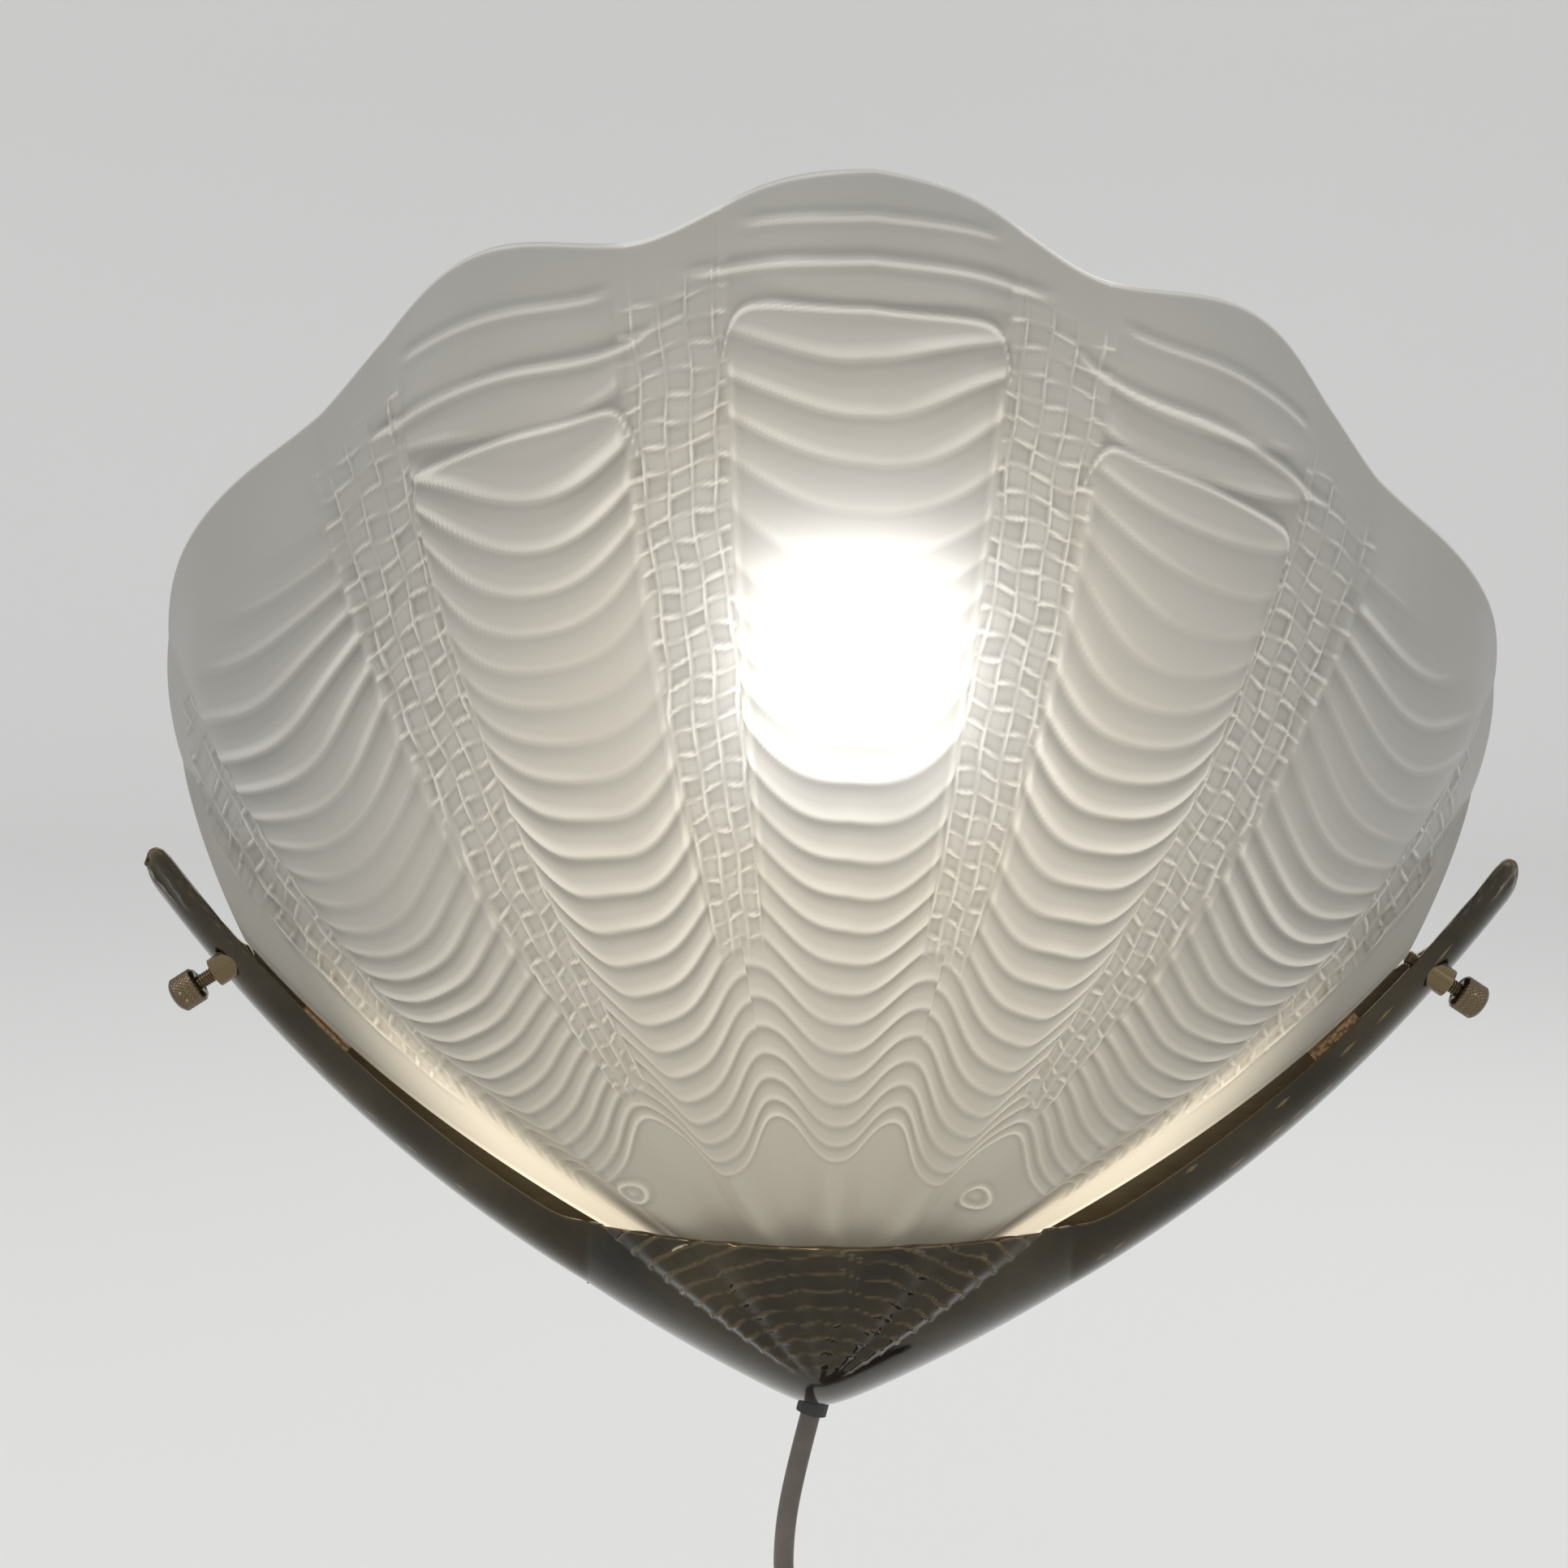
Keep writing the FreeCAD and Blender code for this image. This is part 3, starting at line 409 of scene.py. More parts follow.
# a closed sheet: a fine front, a back with one row for every few of the front's, and the rim between them
def sheetPiece(front, back, step):
    frontSize, backSize = front.shape[:2], back.shape[:2]
    base = frontSize[0] * frontSize[1]
    points = np.concatenate([front.reshape(-1, 3), back.reshape(-1, 3)])
    faces = gridFaces(*frontSize) + gridFaces(*backSize, base, flip=True)
    fine, coarse = gridSides(*frontSize), gridSides(*backSize, base)
    for side, flip in (("low", True), ("high", False), ("left", False), ("right", True)):
        for k in range(len(coarse[side]) - 1):
            loop = fine[side][k * step:(k + 1) * step + 1] + [coarse[side][k + 1], coarse[side][k]]
            faces.append(tuple(loop[::-1] if flip else loop))
    return points, faces


def smoothStep(low, high, value):
    share = np.clip((value - low) / (high - low), 0.0, 1.0)
    return share * share * (3 - 2 * share)


# smooth curve through a few points, the same kind that the part's rim has
def curveThrough(xs, ys):
    xs, ys = np.array(xs, float), np.array(ys, float)
    count = len(xs)
    gaps = np.diff(xs)
    matrix = np.zeros((count, count))
    wanted = np.zeros(count)
    matrix[0, 0] = matrix[-1, -1] = 1.0
    for k in range(1, count - 1):
        matrix[k, k - 1:k + 2] = gaps[k - 1], 2 * (gaps[k - 1] + gaps[k]), gaps[k]
        wanted[k] = 6 * ((ys[k + 1] - ys[k]) / gaps[k] - (ys[k] - ys[k - 1]) / gaps[k - 1])
    bend = np.linalg.solve(matrix, wanted)

    def value(x):
        k = np.clip(np.searchsorted(xs, x, side="right") - 1, 0, count - 2)
        left, right = x - xs[k], xs[k + 1] - x
        gap = gaps[k]
        curved = (bend[k] * right ** 3 + bend[k + 1] * left ** 3) / (6 * gap)
        return curved + (ys[k] / gap - bend[k] * gap / 6) * right \
            + (ys[k + 1] / gap - bend[k + 1] * gap / 6) * left
    return value


# straight lines through a few (place, value) pairs
def linesThrough(pairs, place):
    return np.interp(place, *zip(*pairs))


def gridNormals(grid):
    normals = np.cross(np.gradient(grid, axis=1), np.gradient(grid, axis=0))
    normals /= np.maximum(np.linalg.norm(normals, axis=2, keepdims=True), 1e-9)
    return np.where(normals[..., 1:2] > 0, -normals, normals)


def softened(values, passes, axis):
    for _ in range(passes):
        values = 0.5 * values + 0.25 * (np.roll(values, 1, axis) + np.roll(values, -1, axis))
    return values


# glass shell: flutes, hanging growth folds, cell bands between the flutes, plain rim and flange

shell = {
    "poleX": -1.0, "poleZ": -100.0, "umboRadius": 12.0, "thickness": 5.0, "edgeDepth": 14.0,
    "crownDepth": 132.0, "crownReach": 330.0, "lean": 1.3, "skew": 0.017,
    "edgeAngle": 62.5, "edgeCurl": 8.5, "edgeCurlReach": 200.0, "flange": 0.93,
    "rim": [(0.0, 295.5), (0.113, 291.0), (0.228, 281.5), (0.354, 285.5), (0.478, 278.5), (0.581, 267.5),
            (0.66, 264.0), (0.748, 260.0), (0.838, 253.0), (0.896, 241.0), (0.942, 222.0), (0.97, 205.0),
            (1.0, 186.0)],    # share of the way from the middle to an edge, reach from the pole
    "flutes": [(0.0, 0.150, 10.0), (0.37, 0.128, 8.0), (0.722, 0.138, 7.0)],    # middle, half width, height
    "bands": [(0.1975, 0.40), (0.542, 0.31), (0.895, 0.50)],    # middle, rise where the cells begin
    "bandHalf": (0.036, 0.020),    # half width at the pole, and what it gains up to the rim
    "columns": 600, "rows": 400, "rimRows": 16, "rimStart": 0.982, "backStep": 4,
    "folds": 24, "foldStart": 0.205, "foldEnd": 0.955, "foldWidening": 1.2, "foldTilt": (0.11, 0.28),
    "foldSag": [(0, 0), (0.10, 0.026), (0.18, 0.040), (0.35, 0.050), (0.55, 0.060), (0.70, 0.068),
                (0.82, 0.062), (0.90, 0.042), (1.0, 0)],
    "foldHeight": [(0.12, 0), (0.17, 0.60), (0.30, 1.05), (0.50, 1.65), (0.70, 1.9), (0.88, 1.5),
                   (0.94, 0.1)],
    "foldCrest": 0.30,
    "cellRow": 5.3, "cellLine": 0.60, "cellHeight": 1.30, "cellEdge": 1.6,
    "tips": [0.895, 0.852, 2.0],    # rise where each flute's raised part ends, or past 1 where it doesn't
    "tipStep": 1.1,
    "terraces": [(0.33, 1.35, 0.75), (0.64, 0.95, 0.55)],    # share of the way to the rim, width, height
    "riseLength": 275.0,    # about what a rise of 1 measures
    "fluteEdge": 0.40,
    "rimBand": 13.0, "edgeRound": 1.8,
    "bosses": [(-0.715, 0.226, 3.6), (0.60, 0.195, 3.6)],    # share, rise, radius
}
rimCurve = curveThrough(*zip(*shell["rim"]))
fluteMiddles = [middle for middle, half, height in shell["flutes"]]
bandMiddles = [middle for middle, start in shell["bands"]]


def edgeAngle(radius):
    return shell["edgeAngle"] - shell["edgeCurl"] * (radius / shell["edgeCurlReach"]) ** 2


def rimReach(share):
    reach = rimCurve(np.minimum(np.abs(share), 1.0))
    return reach * (1 - shell["skew"] * np.sin(3 * np.radians(share * edgeAngle(reach))))


def plainGlass(share, rise):
    radius = shell["umboRadius"] + (rimReach(share) - shell["umboRadius"]) * rise
    angle = np.radians(share * edgeAngle(radius) + shell["lean"] * (1 - share * share))
    fullness = 1 - (1 - radius / shell["crownReach"]) ** 2
    crown = shell["crownDepth"] * fullness ** 0.75
    across = np.abs(share) / shell["flange"]
    arch = np.where(across < 1, (1 - np.minimum(across, 1.0) ** 2.2) ** 0.85, 0.0)
    depth = shell["edgeDepth"] + (crown - shell["edgeDepth"]) * arch
    place = np.stack([shell["poleX"] + radius * np.sin(angle), -depth,
                      shell["poleZ"] + radius * np.cos(angle)], axis=-1)
    return place, radius


# columns crowd together over the cell bands and at the two edges
def shellShares():
    fine = np.linspace(-1, 1, 8001)
    weight = np.ones_like(fine)
    for middle in bandMiddles:
        weight += 1.7 * np.exp(-((np.abs(fine) - middle) / 0.055) ** 4)
    weight += 6.0 * np.exp(-((1 - np.abs(fine)) / 0.012) ** 2)
    total = np.cumsum(weight)
    wanted = np.linspace(total[0], total[-1], shell["columns"] + 1)
    shares = np.interp(wanted, total, fine)
    shares[0], shares[-1] = -1.0, 1.0
    return shares


# and rows at the rim
def shellRises():
    start, rows = shell["rimStart"], shell["rimRows"]
    inner = np.linspace(0, start, shell["rows"] + 1 - rows)
    return np.concatenate([inner, np.linspace(start, 1, rows + 1)[1:]])


def fluteSwell(share, rise):
    growth = (1 - (1 - np.minimum(1.0, rise / 0.45)) ** 2) ** 1.25
    squareness = 2.0 + 2.2 * smoothStep(0.30, 0.60, rise)
    swell = np.zeros_like(share)
    for middle, half, height in shell["flutes"]:
        across = np.abs((np.abs(share) - middle) / half)
        reach = np.minimum(across, 1.0)
        steep = 1 - reach ** squareness
        gentle = 0.5 + 0.5 * np.cos(math.pi * reach)
        steepness = smoothStep(0.26, 0.52, rise) * (1 - 0.7 * smoothStep(0.90, 1.0, rise))
        own = gentle + (steep - gentle) * steepness
        swell = np.where(across < 1, height * own, swell)
    return swell * growth


# 1 in the middle of each flute and 0 in the middle of each band, as one smooth wave
def fluteWave(share):
    middles = sorted(fluteMiddles + bandMiddles)
    turns = np.interp(np.abs(share), middles + [1.0], [*range(len(middles)), len(middles) - 0.5])
    return 0.5 + 0.5 * np.cos(math.pi * turns)


def uneven(share, radius, seed):
    broad = 1.4 * np.sin(7.3 * share + 0.041 * radius + seed)
    narrow = 0.8 * np.sin(13.1 * share - 0.067 * radius + 2.1 * seed)
    fine = 0.22 * np.sin(29.0 * share + 0.113 * radius + 3.7 * seed)
    return (broad + narrow + fine) / 2.4


def bandHalf(rise):
    return shell["bandHalf"][0] + shell["bandHalf"][1] * rise


def bandAcross(share, rise, middle):
    return (np.abs(share) - middle) / bandHalf(rise)


# 1 up a band, from a little below where its cells begin
def bandStart(rise, start):
    return smoothStep(start - 0.03, start + 0.02, rise)


def cellMask(share, rise):
    mask = np.zeros_like(share)
    for middle, start in shell["bands"]:
        across = np.abs(bandAcross(share, rise, middle))
        mask = np.maximum(mask, (1 - smoothStep(0.92, 1.12, across)) * bandStart(rise, start))
    return mask * (1 - smoothStep(0.95, 0.985, rise))


# on the side flutes the folds lie nearer to level than rings about the pole would
def foldTilt(share, rise):
    reach = np.abs(share)
    tilt = np.zeros_like(share)
    for own, middle, low, high in zip(shell["foldTilt"], fluteMiddles[1:], bandMiddles, bandMiddles[1:]):
        tilt = np.where((reach > low) & (reach <= high), own * (reach - middle), tilt)
    return tilt * smoothStep(0.27, 0.50, rise)


# which flute a place belongs to, 0 to 6 from left to right
def laneOf(share):
    borders = sorted([-middle for middle in bandMiddles] + bandMiddles)
    return np.searchsorted(borders, share).astype(float)


# -1 at a flute's left edge and 1 at its right edge
def acrossFlute(share):
    across = np.zeros_like(share)
    for middle, half, _ in shell["flutes"]:
        for side in (-1, 1):
            own = (share - side * middle) / half
            across = np.where(np.abs(own) < 1, own, across)
    return across


def foldRelief(share, rise, radius):
    sag = linesThrough(shell["foldSag"], rise)
    lane = laneOf(share)
    own = acrossFlute(share)
    hanging = 1 - (1 - fluteWave(share)) ** 1.8
    bowed = np.where(own == 0, fluteWave(share), 1 - own * own)
    wave = hanging + (bowed - hanging) * smoothStep(0.42, 0.62, rise)    # low folds hang in one long wave
    level = rise + sag * (wave - 0.40) - foldTilt(share, rise)
    level = level - 0.070 * smoothStep(0.42, 0.64, np.abs(share)) * (1 - smoothStep(0.22, 0.85, rise))
    level = level + 0.009 * uneven(share, radius, 1.3) * smoothStep(0.2, 0.6, rise)
    travelled = np.clip((level - shell["foldStart"]) / (shell["foldEnd"] - shell["foldStart"]), 0, 1)
    phase = shell["folds"] * travelled ** (1 / shell["foldWidening"])
    # each high fold leans and bows a little in its own way
    lean = np.sin(0.046 * radius + 2.3 * lane) + 0.7 * np.sin(0.103 * radius + 1.1 * lane)
    bow = np.sin(0.071 * radius + 4.1 * lane) * (own * own - 0.4)
    phase = phase + (0.36 * lean * own + 0.30 * bow) * smoothStep(0.48, 0.80, rise)
    part = phase - np.floor(phase)
    crest = shell["foldCrest"]
    climb = np.where(part < crest, 0.5 * part / crest, 0.5 + 0.5 * (part - crest) / (1 - crest))
    sharpness = 1.7 + 1.5 * smoothStep(0.45, 0.85, rise)    # round ripples low down, thin ridges high up
    roll = np.sin(math.pi * climb) ** sharpness
    height = linesThrough(shell["foldHeight"], rise)
    height = height * (0.84 + 0.26 * uneven(2.2 * share, 0.9 * radius, 2.4))
    height = height * (1 - 0.25 * smoothStep(0.50, 0.62, np.abs(share)) * (1 - smoothStep(0.35, 0.55, rise)))
    # high folds differ in strength from one to the next and from flute to flute
    chance = np.abs(np.sin(12.9 * np.floor(phase) + 78.2 * lane)) % 1.0
    varied = 1 - 0.70 * chance * smoothStep(0.42, 0.60, rise)
    return roll * height * varied * smoothStep(0.0, 0.35, phase)


# a flute's raised part ends in a thin line that rounds off at its corners; terraces follow up to the rim
def tipRelief(share, rise):
    relief = np.zeros_like(share)
    for (middle, half, _), tip in zip(shell["flutes"], shell["tips"]):
        across = np.abs((np.abs(share) - middle) / half)
        inside = across < 1
        reach = np.minimum(across, 1.0)
        line = tip + 0.027 * reach ** 2 - 0.050 * reach ** 14
        away = (rise - line) * shell["riseLength"]
        step = -shell["tipStep"] * smoothStep(-1.0, 1.6, away) * (1 - reach ** 8)
        own = step + 0.65 * np.exp(-(away / 0.8) ** 2)
        relief = np.where(inside, own, relief)
        for part, wide, height in shell["terraces"]:
            terrace = tip + (1 - tip) * part + 0.020 * across ** 2 + 0.003 * np.sin(9 * share + 20 * part)
            away = (rise - terrace) * shell["riseLength"]
            fade = 1 - smoothStep(0.75 * wide, wide, across)
            shape = np.exp(-(away / 1.1) ** 2) - 0.5 * np.exp(-((away - 2.2) / 1.6) ** 2)
            relief = relief + height * shape * fade * (tip < 1)
    return relief


# a thin line down both edges of every flute
def edgeRelief(share, rise):
    relief = np.zeros_like(share)
    for (middle, half, _), tip in zip(shell["flutes"], shell["tips"]):
        across = np.abs((np.abs(share) - middle) / half)
        line = np.exp(-((across - 0.93) / 0.035) ** 2)
        end = min(tip, 0.9)
        reach = smoothStep(0.40, 0.52, rise) * (1 - smoothStep(end - 0.04, end - 0.01, rise))
        relief = np.maximum(relief, shell["fluteEdge"] * line * reach)
    return relief


def cellRelief(share, rise, radius):
    relief = np.zeros_like(share)
    for index, (middle, start) in enumerate(shell["bands"]):
        across = bandAcross(share, rise, middle)
        side = np.sign(share)
        # three columns of cells, and four high up in the inner bands; no line is quite straight
        wander = 0.10 * np.sin(0.11 * radius + 1.9 * index + 1.1 * side) \
            + 0.05 * np.sin(0.29 * radius + 2.7 * side + 0.8 * index)
        more = 0.5 * smoothStep(0.55, 0.78, rise) * (middle < 0.8)
        columns = 1.5 + (1.5 + more) * across + wander
        halfWidth = np.radians(56 * bandHalf(rise)) * radius
        toColumn = np.abs(columns - np.round(columns)) * halfWidth / 1.5
        rowWander = 0.10 * np.sin(2.1 * np.floor(columns) + 5.0 * side + 0.05 * radius) \
            + 0.12 * np.sin(4.0 * across + 1.3 * index + 0.19 * radius)
        rows = radius / shell["cellRow"] + rowWander + 0.25 * across
        toRow = np.abs(rows - np.round(rows)) * shell["cellRow"]
        near = np.minimum(toColumn, toRow)
        line = np.exp(-(near / shell["cellLine"]) ** 2) \
            * (0.72 + 0.28 * np.sin(0.37 * radius + 7.0 * np.floor(columns) + 3.0 * side + 6.0 * across))
        bulge = np.minimum(toColumn / shell["cellEdge"], 1) * np.minimum(toRow / shell["cellEdge"], 1)
        pillow = (0.35 + 0.25 * np.sin(2.4 * np.floor(rows) + 4.0 * np.floor(columns))) * bulge
        inside = (1 - smoothStep(0.95, 1.08, np.abs(across))) * bandStart(rise, start)
        relief = np.maximum(relief, inside * (shell["cellHeight"] * line + pillow))
    return relief * (1 - 0.40 * smoothStep(0.80, 0.90, rise)) * (1 - smoothStep(0.94, 0.985, rise))


# a ring about a small knob
def bossRelief(grid):
    relief = np.zeros(grid.shape[:2])
    for bossShare, bossRise, radius in shell["bosses"]:
        centre, _ = plainGlass(np.array([[bossShare]]), np.array([[bossRise]]))
        away = np.linalg.norm(grid - centre[0, 0], axis=2)
        ring = np.exp(-((away - radius) / 0.9) ** 2)
        relief += 0.9 * ring + 0.6 * np.exp(-(away / (0.5 * radius)) ** 2)
    return relief


def makeShellGlass():
    shares, rises = shellShares(), shellRises()
    share, rise = np.meshgrid(shares, rises)
    grid, radius = plainGlass(share, rise)
    normals = gridNormals(grid)
    swell = fluteSwell(share, rise)
    cells = cellMask(share, rise)
    toRim = rimReach(share) - radius
    inRim = smoothStep(0.55 * shell["rimBand"], 1.25 * shell["rimBand"], toRim)
    inFlange = 1 - smoothStep(0.915, 0.94, np.abs(share))
    folds = foldRelief(share, rise, radius) * (1 - cells) * inRim * inFlange
    lattice = cellRelief(share, rise, radius) * inRim
    tips = tipRelief(share, rise) * inFlange
    relief = folds + lattice + bossRelief(grid) + tips + edgeRelief(share, rise)
    toEdge = np.minimum(toRim, (1 - np.abs(share)) * np.radians(edgeAngle(radius)) * radius)
    toEdge = np.minimum(toEdge, radius - shell["umboRadius"])
    rounding = np.clip(1 - toEdge / shell["edgeRound"], 0, 1)
    drop = shell["edgeRound"] * (1 - np.sqrt(1 - rounding ** 2))
    front = grid + normals * (swell + relief - drop)[..., None]
    step = shell["backStep"]
    inner = (0.85 * swell - shell["thickness"])[::step, ::step]
    back = grid[::step, ::step] + normals[::step, ::step] * inner[..., None]
    points, faces = sheetPiece(front, back, step)
    piece = meshPiece("shellGlass", points, faces, "shell_glass", "glass_shell", ["glass_shell"])
    # painted shade and highlight from the relief's fine shape: lower in the creases, higher on the ridges
    broad = softened(softened(relief, 60, 0), 40, 1)
    crisp = relief - softened(softened(relief, 5, 0), 3, 1)
    paintedReliefShading = 0.5 + 0.25 * (relief - broad) + 0.85 * crisp
    # and a painted highlight along every edge of the glass
    paintedReliefShading = np.clip(paintedReliefShading + 0.5 * (1 - smoothStep(0.5, 1.6, toEdge)), 0, 1)
    # painted reflection of the dish's light on the flat strips beside it, fading out higher up and near the
    # pole
    flange = smoothStep(0.86, 0.95, np.abs(share))
    flange = flange * (1 - smoothStep(0.42, 0.80, rise)) * smoothStep(0.05, 0.25, rise)
    for name, onFront, onBack in (("paintedReliefShading", paintedReliefShading, 0.5), ("flange", flange, 0.0)):
        values = np.concatenate([onFront.ravel(), np.full(back.shape[0] * back.shape[1], onBack)])
        layer = piece.data.attributes.new(name, "FLOAT", "POINT")
        layer.data.foreach_set("value", values.astype(np.float32))
    return piece


shellGlass = makeShellGlass()
print("glass shell made:", len(shellGlass.data.polygons), "faces")


# brass dish: fan of ribs with growth lines on the nose, smooth arms with rounded ends

dish = {
    "tipX": -2.0, "tipZ": -118.0, "slope": 0.515, "curl": 8.3e-6, "tipRound": 6.0, "halfWidth": 180.5,
    "sheet": 1.2, "plate": 1.5, "armHeight": 17.5, "armDepth": 24.0, "endDepth": 13.0,
    "noseHalf": 64.0, "noseDepth": 47.4, "lipZ": -65.0, "endRound": 7.0,
    "fanX": -2.0, "fanZ": -107.0, "fanSpread": 0.55, "fanRibs": 5, "ribHeight": 2.4,
    "growthStep": 5.6, "growthHeight": 0.8, "lipWave": 0.9,
    "columns": 480, "rows": 90, "backStep": 2,
}


def dishOutline(x):
    reach = np.abs(x - dish["tipX"] * np.maximum(0.0, 1 - np.abs(x) / dish["noseHalf"]))
    rise = dish["slope"] * (np.hypot(reach, dish["tipRound"]) - dish["tipRound"])
    return dish["tipZ"] + rise + dish["curl"] * reach ** 3


def dishPlaces(x, rise):
    low = dishOutline(x)
    arm = low + dish["armHeight"]
    lip = 0.5 * (arm + dish["lipZ"] + np.hypot(arm - dish["lipZ"], 3.0))
    reach = np.abs(x)
    depth = dish["armDepth"] + (dish["endDepth"] - dish["armDepth"]) * (reach / dish["halfWidth"]) ** 3
    nose = (dish["noseDepth"] - dish["armDepth"]) * np.maximum(0.0, 1 - (reach / dish["noseHalf"]) ** 2)
    swing = 0.5 * math.pi * rise
    out = dish["plate"] + (depth + nose - dish["plate"]) * np.sin(swing)
    return np.stack([x, -out, low + (lip - low) * (1 - np.cos(swing))], axis=-1)


def dishRelief(grid):
    above = np.maximum(grid[..., 2] - dish["fanZ"], 4.0)
    fan = (grid[..., 0] - dish["fanX"]) / (dish["fanSpread"] * above)
    half = dish["fanRibs"] / 2
    inFan = 1 - smoothStep(half - 0.06, half + 0.02, np.abs(fan))
    along = fan + half
    across = np.abs(2 * (along - np.floor(along)) - 1)
    rib = (0.5 + 0.5 * np.cos(math.pi * across)) ** 0.8
    fromRoot = np.hypot(grid[..., 0] - dish["fanX"], 1.25 * (grid[..., 2] - dish["fanZ"]))
    lines = fromRoot / dish["growthStep"] + 0.22 * across ** 2 + 0.08 * np.sin(9 * fan + 0.2 * fromRoot)
    toLine = np.abs(lines - np.round(lines)) * dish["growthStep"]
    line = np.exp(-(toLine / 0.55) ** 2)
    fade = np.clip((above - 4) / 30, 0, 1)
    relief = inFan * (dish["ribHeight"] * fade * rib + dish["growthHeight"] * line * np.clip(fade * 2, 0, 1))
    return relief, inFan * across


def makeShellDish():
    rises = np.linspace(0, 1, dish["rows"] + 1)
    steps = np.linspace(-1, 1, dish["columns"] + 1)
    spread = 0.55 * steps + 0.45 * steps ** 3
    share, rise = np.meshgrid(spread / spread[-1], rises)
    end = dish["endRound"] * (1 - np.sqrt(np.maximum(0.0, 1 - (2 * rise - 1) ** 2)))
    x = share * (dish["halfWidth"] - end)
    grid = dishPlaces(x, rise)
    normals = gridNormals(grid)
    normals[0] = normals[0] * np.array([1.0, 0.0, 1.0])
    normals[0] /= np.linalg.norm(normals[0], axis=-1, keepdims=True)
    relief, groove = dishRelief(grid)
    lipWave = dish["lipWave"] * smoothStep(0.8, 1.0, rise) * (0.5 - groove) * (np.abs(x) < 60)
    front = grid + normals * relief[..., None]
    front[..., 2] += lipWave
    step = dish["backStep"]
    inner = (0.7 * relief - dish["sheet"])[::step, ::step]
    back = grid[::step, ::step] + normals[::step, ::step] * inner[..., None]
    back[..., 2] += lipWave[::step, ::step]
    points, faces = sheetPiece(front, back, step)
    return meshPiece("shellDish", points, faces, "dark_brass", "base", ["glass_holder"])


shellDish = makeShellDish()
print("brass dish made:", len(shellDish.data.polygons), "faces")


# turned pieces: profile is (radius, place along the axis) pairs, and wave(radius, turn, place) bends a ring
def turnedPoints(profile, sides, start, axis, wave=None):
    axis = np.array(axis, float) / np.linalg.norm(axis)
    side = np.cross(axis, [0.0, 1.0, 0.0])
    if np.linalg.norm(side) < 0.1:
        side = np.cross(axis, [1.0, 0.0, 0.0])
    side /= np.linalg.norm(side)
    other = np.cross(axis, side)
    points = []
    for radius, place in profile:
        for k in range(sides):
            turn = 2 * math.pi * k / sides
            reach = wave(radius, turn, place) if wave else radius
            outward = side * math.cos(turn) + other * math.sin(turn)
            points.append(np.array(start) + axis * place + outward * reach)
    return points


def tubeFaces(rows, sides, closed=True):
    faces = gridFaces(rows, sides, wrap=True, flip=True)
    if closed:
        faces += [tuple(range(sides)), tuple((rows - 1) * sides + k for k in reversed(range(sides)))]
    return faces


def turnedPiece(name, profile, sides, start, axis, slot, body, replaced, wave=None, closed=True):
    points = turnedPoints(profile, sides, start, axis, wave)
    return meshPiece(name, points, tubeFaces(len(profile), sides, closed), slot, body, replaced)


# thumbscrews: knurled knobs on threaded shanks

screw = {
    "tipX": 150.4, "tipZ": 6.4, "depth": 11.5, "slope": 33.0, "back": {-1: 3.2, 1: 1.4},
    "shankRadius": 2.0, "pitch": 0.7, "threadDepth": 0.32, "shankLength": 22.0,
    "knobStart": 16.0, "knobLength": 8.0, "knobRadius": 4.8, "knurls": 26, "knurlDepth": 0.28,
}


def screwLine(side):
    slope = math.radians(screw["slope"])
    axis = np.array([side * math.cos(slope), 0.0, -math.sin(slope)])
    start = np.array([side * screw["tipX"], -screw["depth"], screw["tipZ"]]) + axis * screw["back"][side]
    return start, axis


def screwThread(radius, turn, place):
    ridge = 0.5 + 0.5 * math.cos(turn - 2 * math.pi * place / screw["pitch"])
    return radius - screw["threadDepth"] * (1 - ridge) * min(1.0, place / 0.8)


def knurl(radius, turn, place):
    if radius < screw["knobRadius"] - 0.05:
        return radius
    lean = 2 * math.pi * place / 1.16
    first = abs(math.sin(0.5 * (screw["knurls"] * turn + lean)))
    second = abs(math.sin(0.5 * (screw["knurls"] * turn - lean)))
    return radius - screw["knurlDepth"] * (1 - min(first, second) ** 0.8)


def makeThumbscrew(side, word):
    start, axis = screwLine(side)
    radius = screw["shankRadius"]
    steps = int(screw["shankLength"] / screw["pitch"] * 7)
    shank = [(radius - 0.5, 0.0)]
    shank += [(radius, 0.3 + (screw["shankLength"] - 0.3) * k / steps) for k in range(steps + 1)]
    turnedPiece(word + "ScrewThread", shank, 28, start, axis, "screw_brass", word + "_screw",
                [word + "_screw_shank"], screwThread)
    full = screw["knobRadius"]
    length = screw["knobLength"]
    knob = [(radius + 0.05, 6.0), (radius + 0.05, 0.0), (full - 1.4, 0.0), (full - 0.7, 0.25),
            (full - 0.35, 0.7)]
    knob += [(full, 0.9 + (length - 2.3) * k / 26) for k in range(27)]
    knob += [(full - 0.3, length - 1.15), (full - 0.8, length - 0.6), (full - 1.5, length - 0.2),
             (full - 2.4, length), (0.05, length)]
    turnedPiece(word + "KnurledKnob", knob, 156, start + axis * screw["knobStart"], axis, "screw_brass",
                word + "_knob", [word + "_screw_knob"], knurl)


for screwSide, screwWord in ((-1, "left"), (1, "right")):
    makeThumbscrew(screwSide, screwWord)
print("thumbscrews made")


# lamp: opal globe, threaded cap and foot contact

lamp = {
    "depth": 50.0, "neckZ": 51.0, "globeZ": 85.0, "globeRadius": 22.5, "globeRings": 25,
    "neckWall": 0.6, "shoulder": [(-0.6, 0.0), (0.0, 0.8), (0.5, 3.0), (1.6, 6.0), (3.8, 10.0), (6.6, 14.0)],
    "capRadius": 6.7, "threadZ": (35.0, 48.5), "threadPitch": 2.8, "threadDepth": 0.45,
    "foot": [(0.05, 28.0), (1.5, 28.05), (2.2, 28.4), (2.6, 29.2), (3.9, 30.2), (4.5, 31.0)],    # radius, z
}


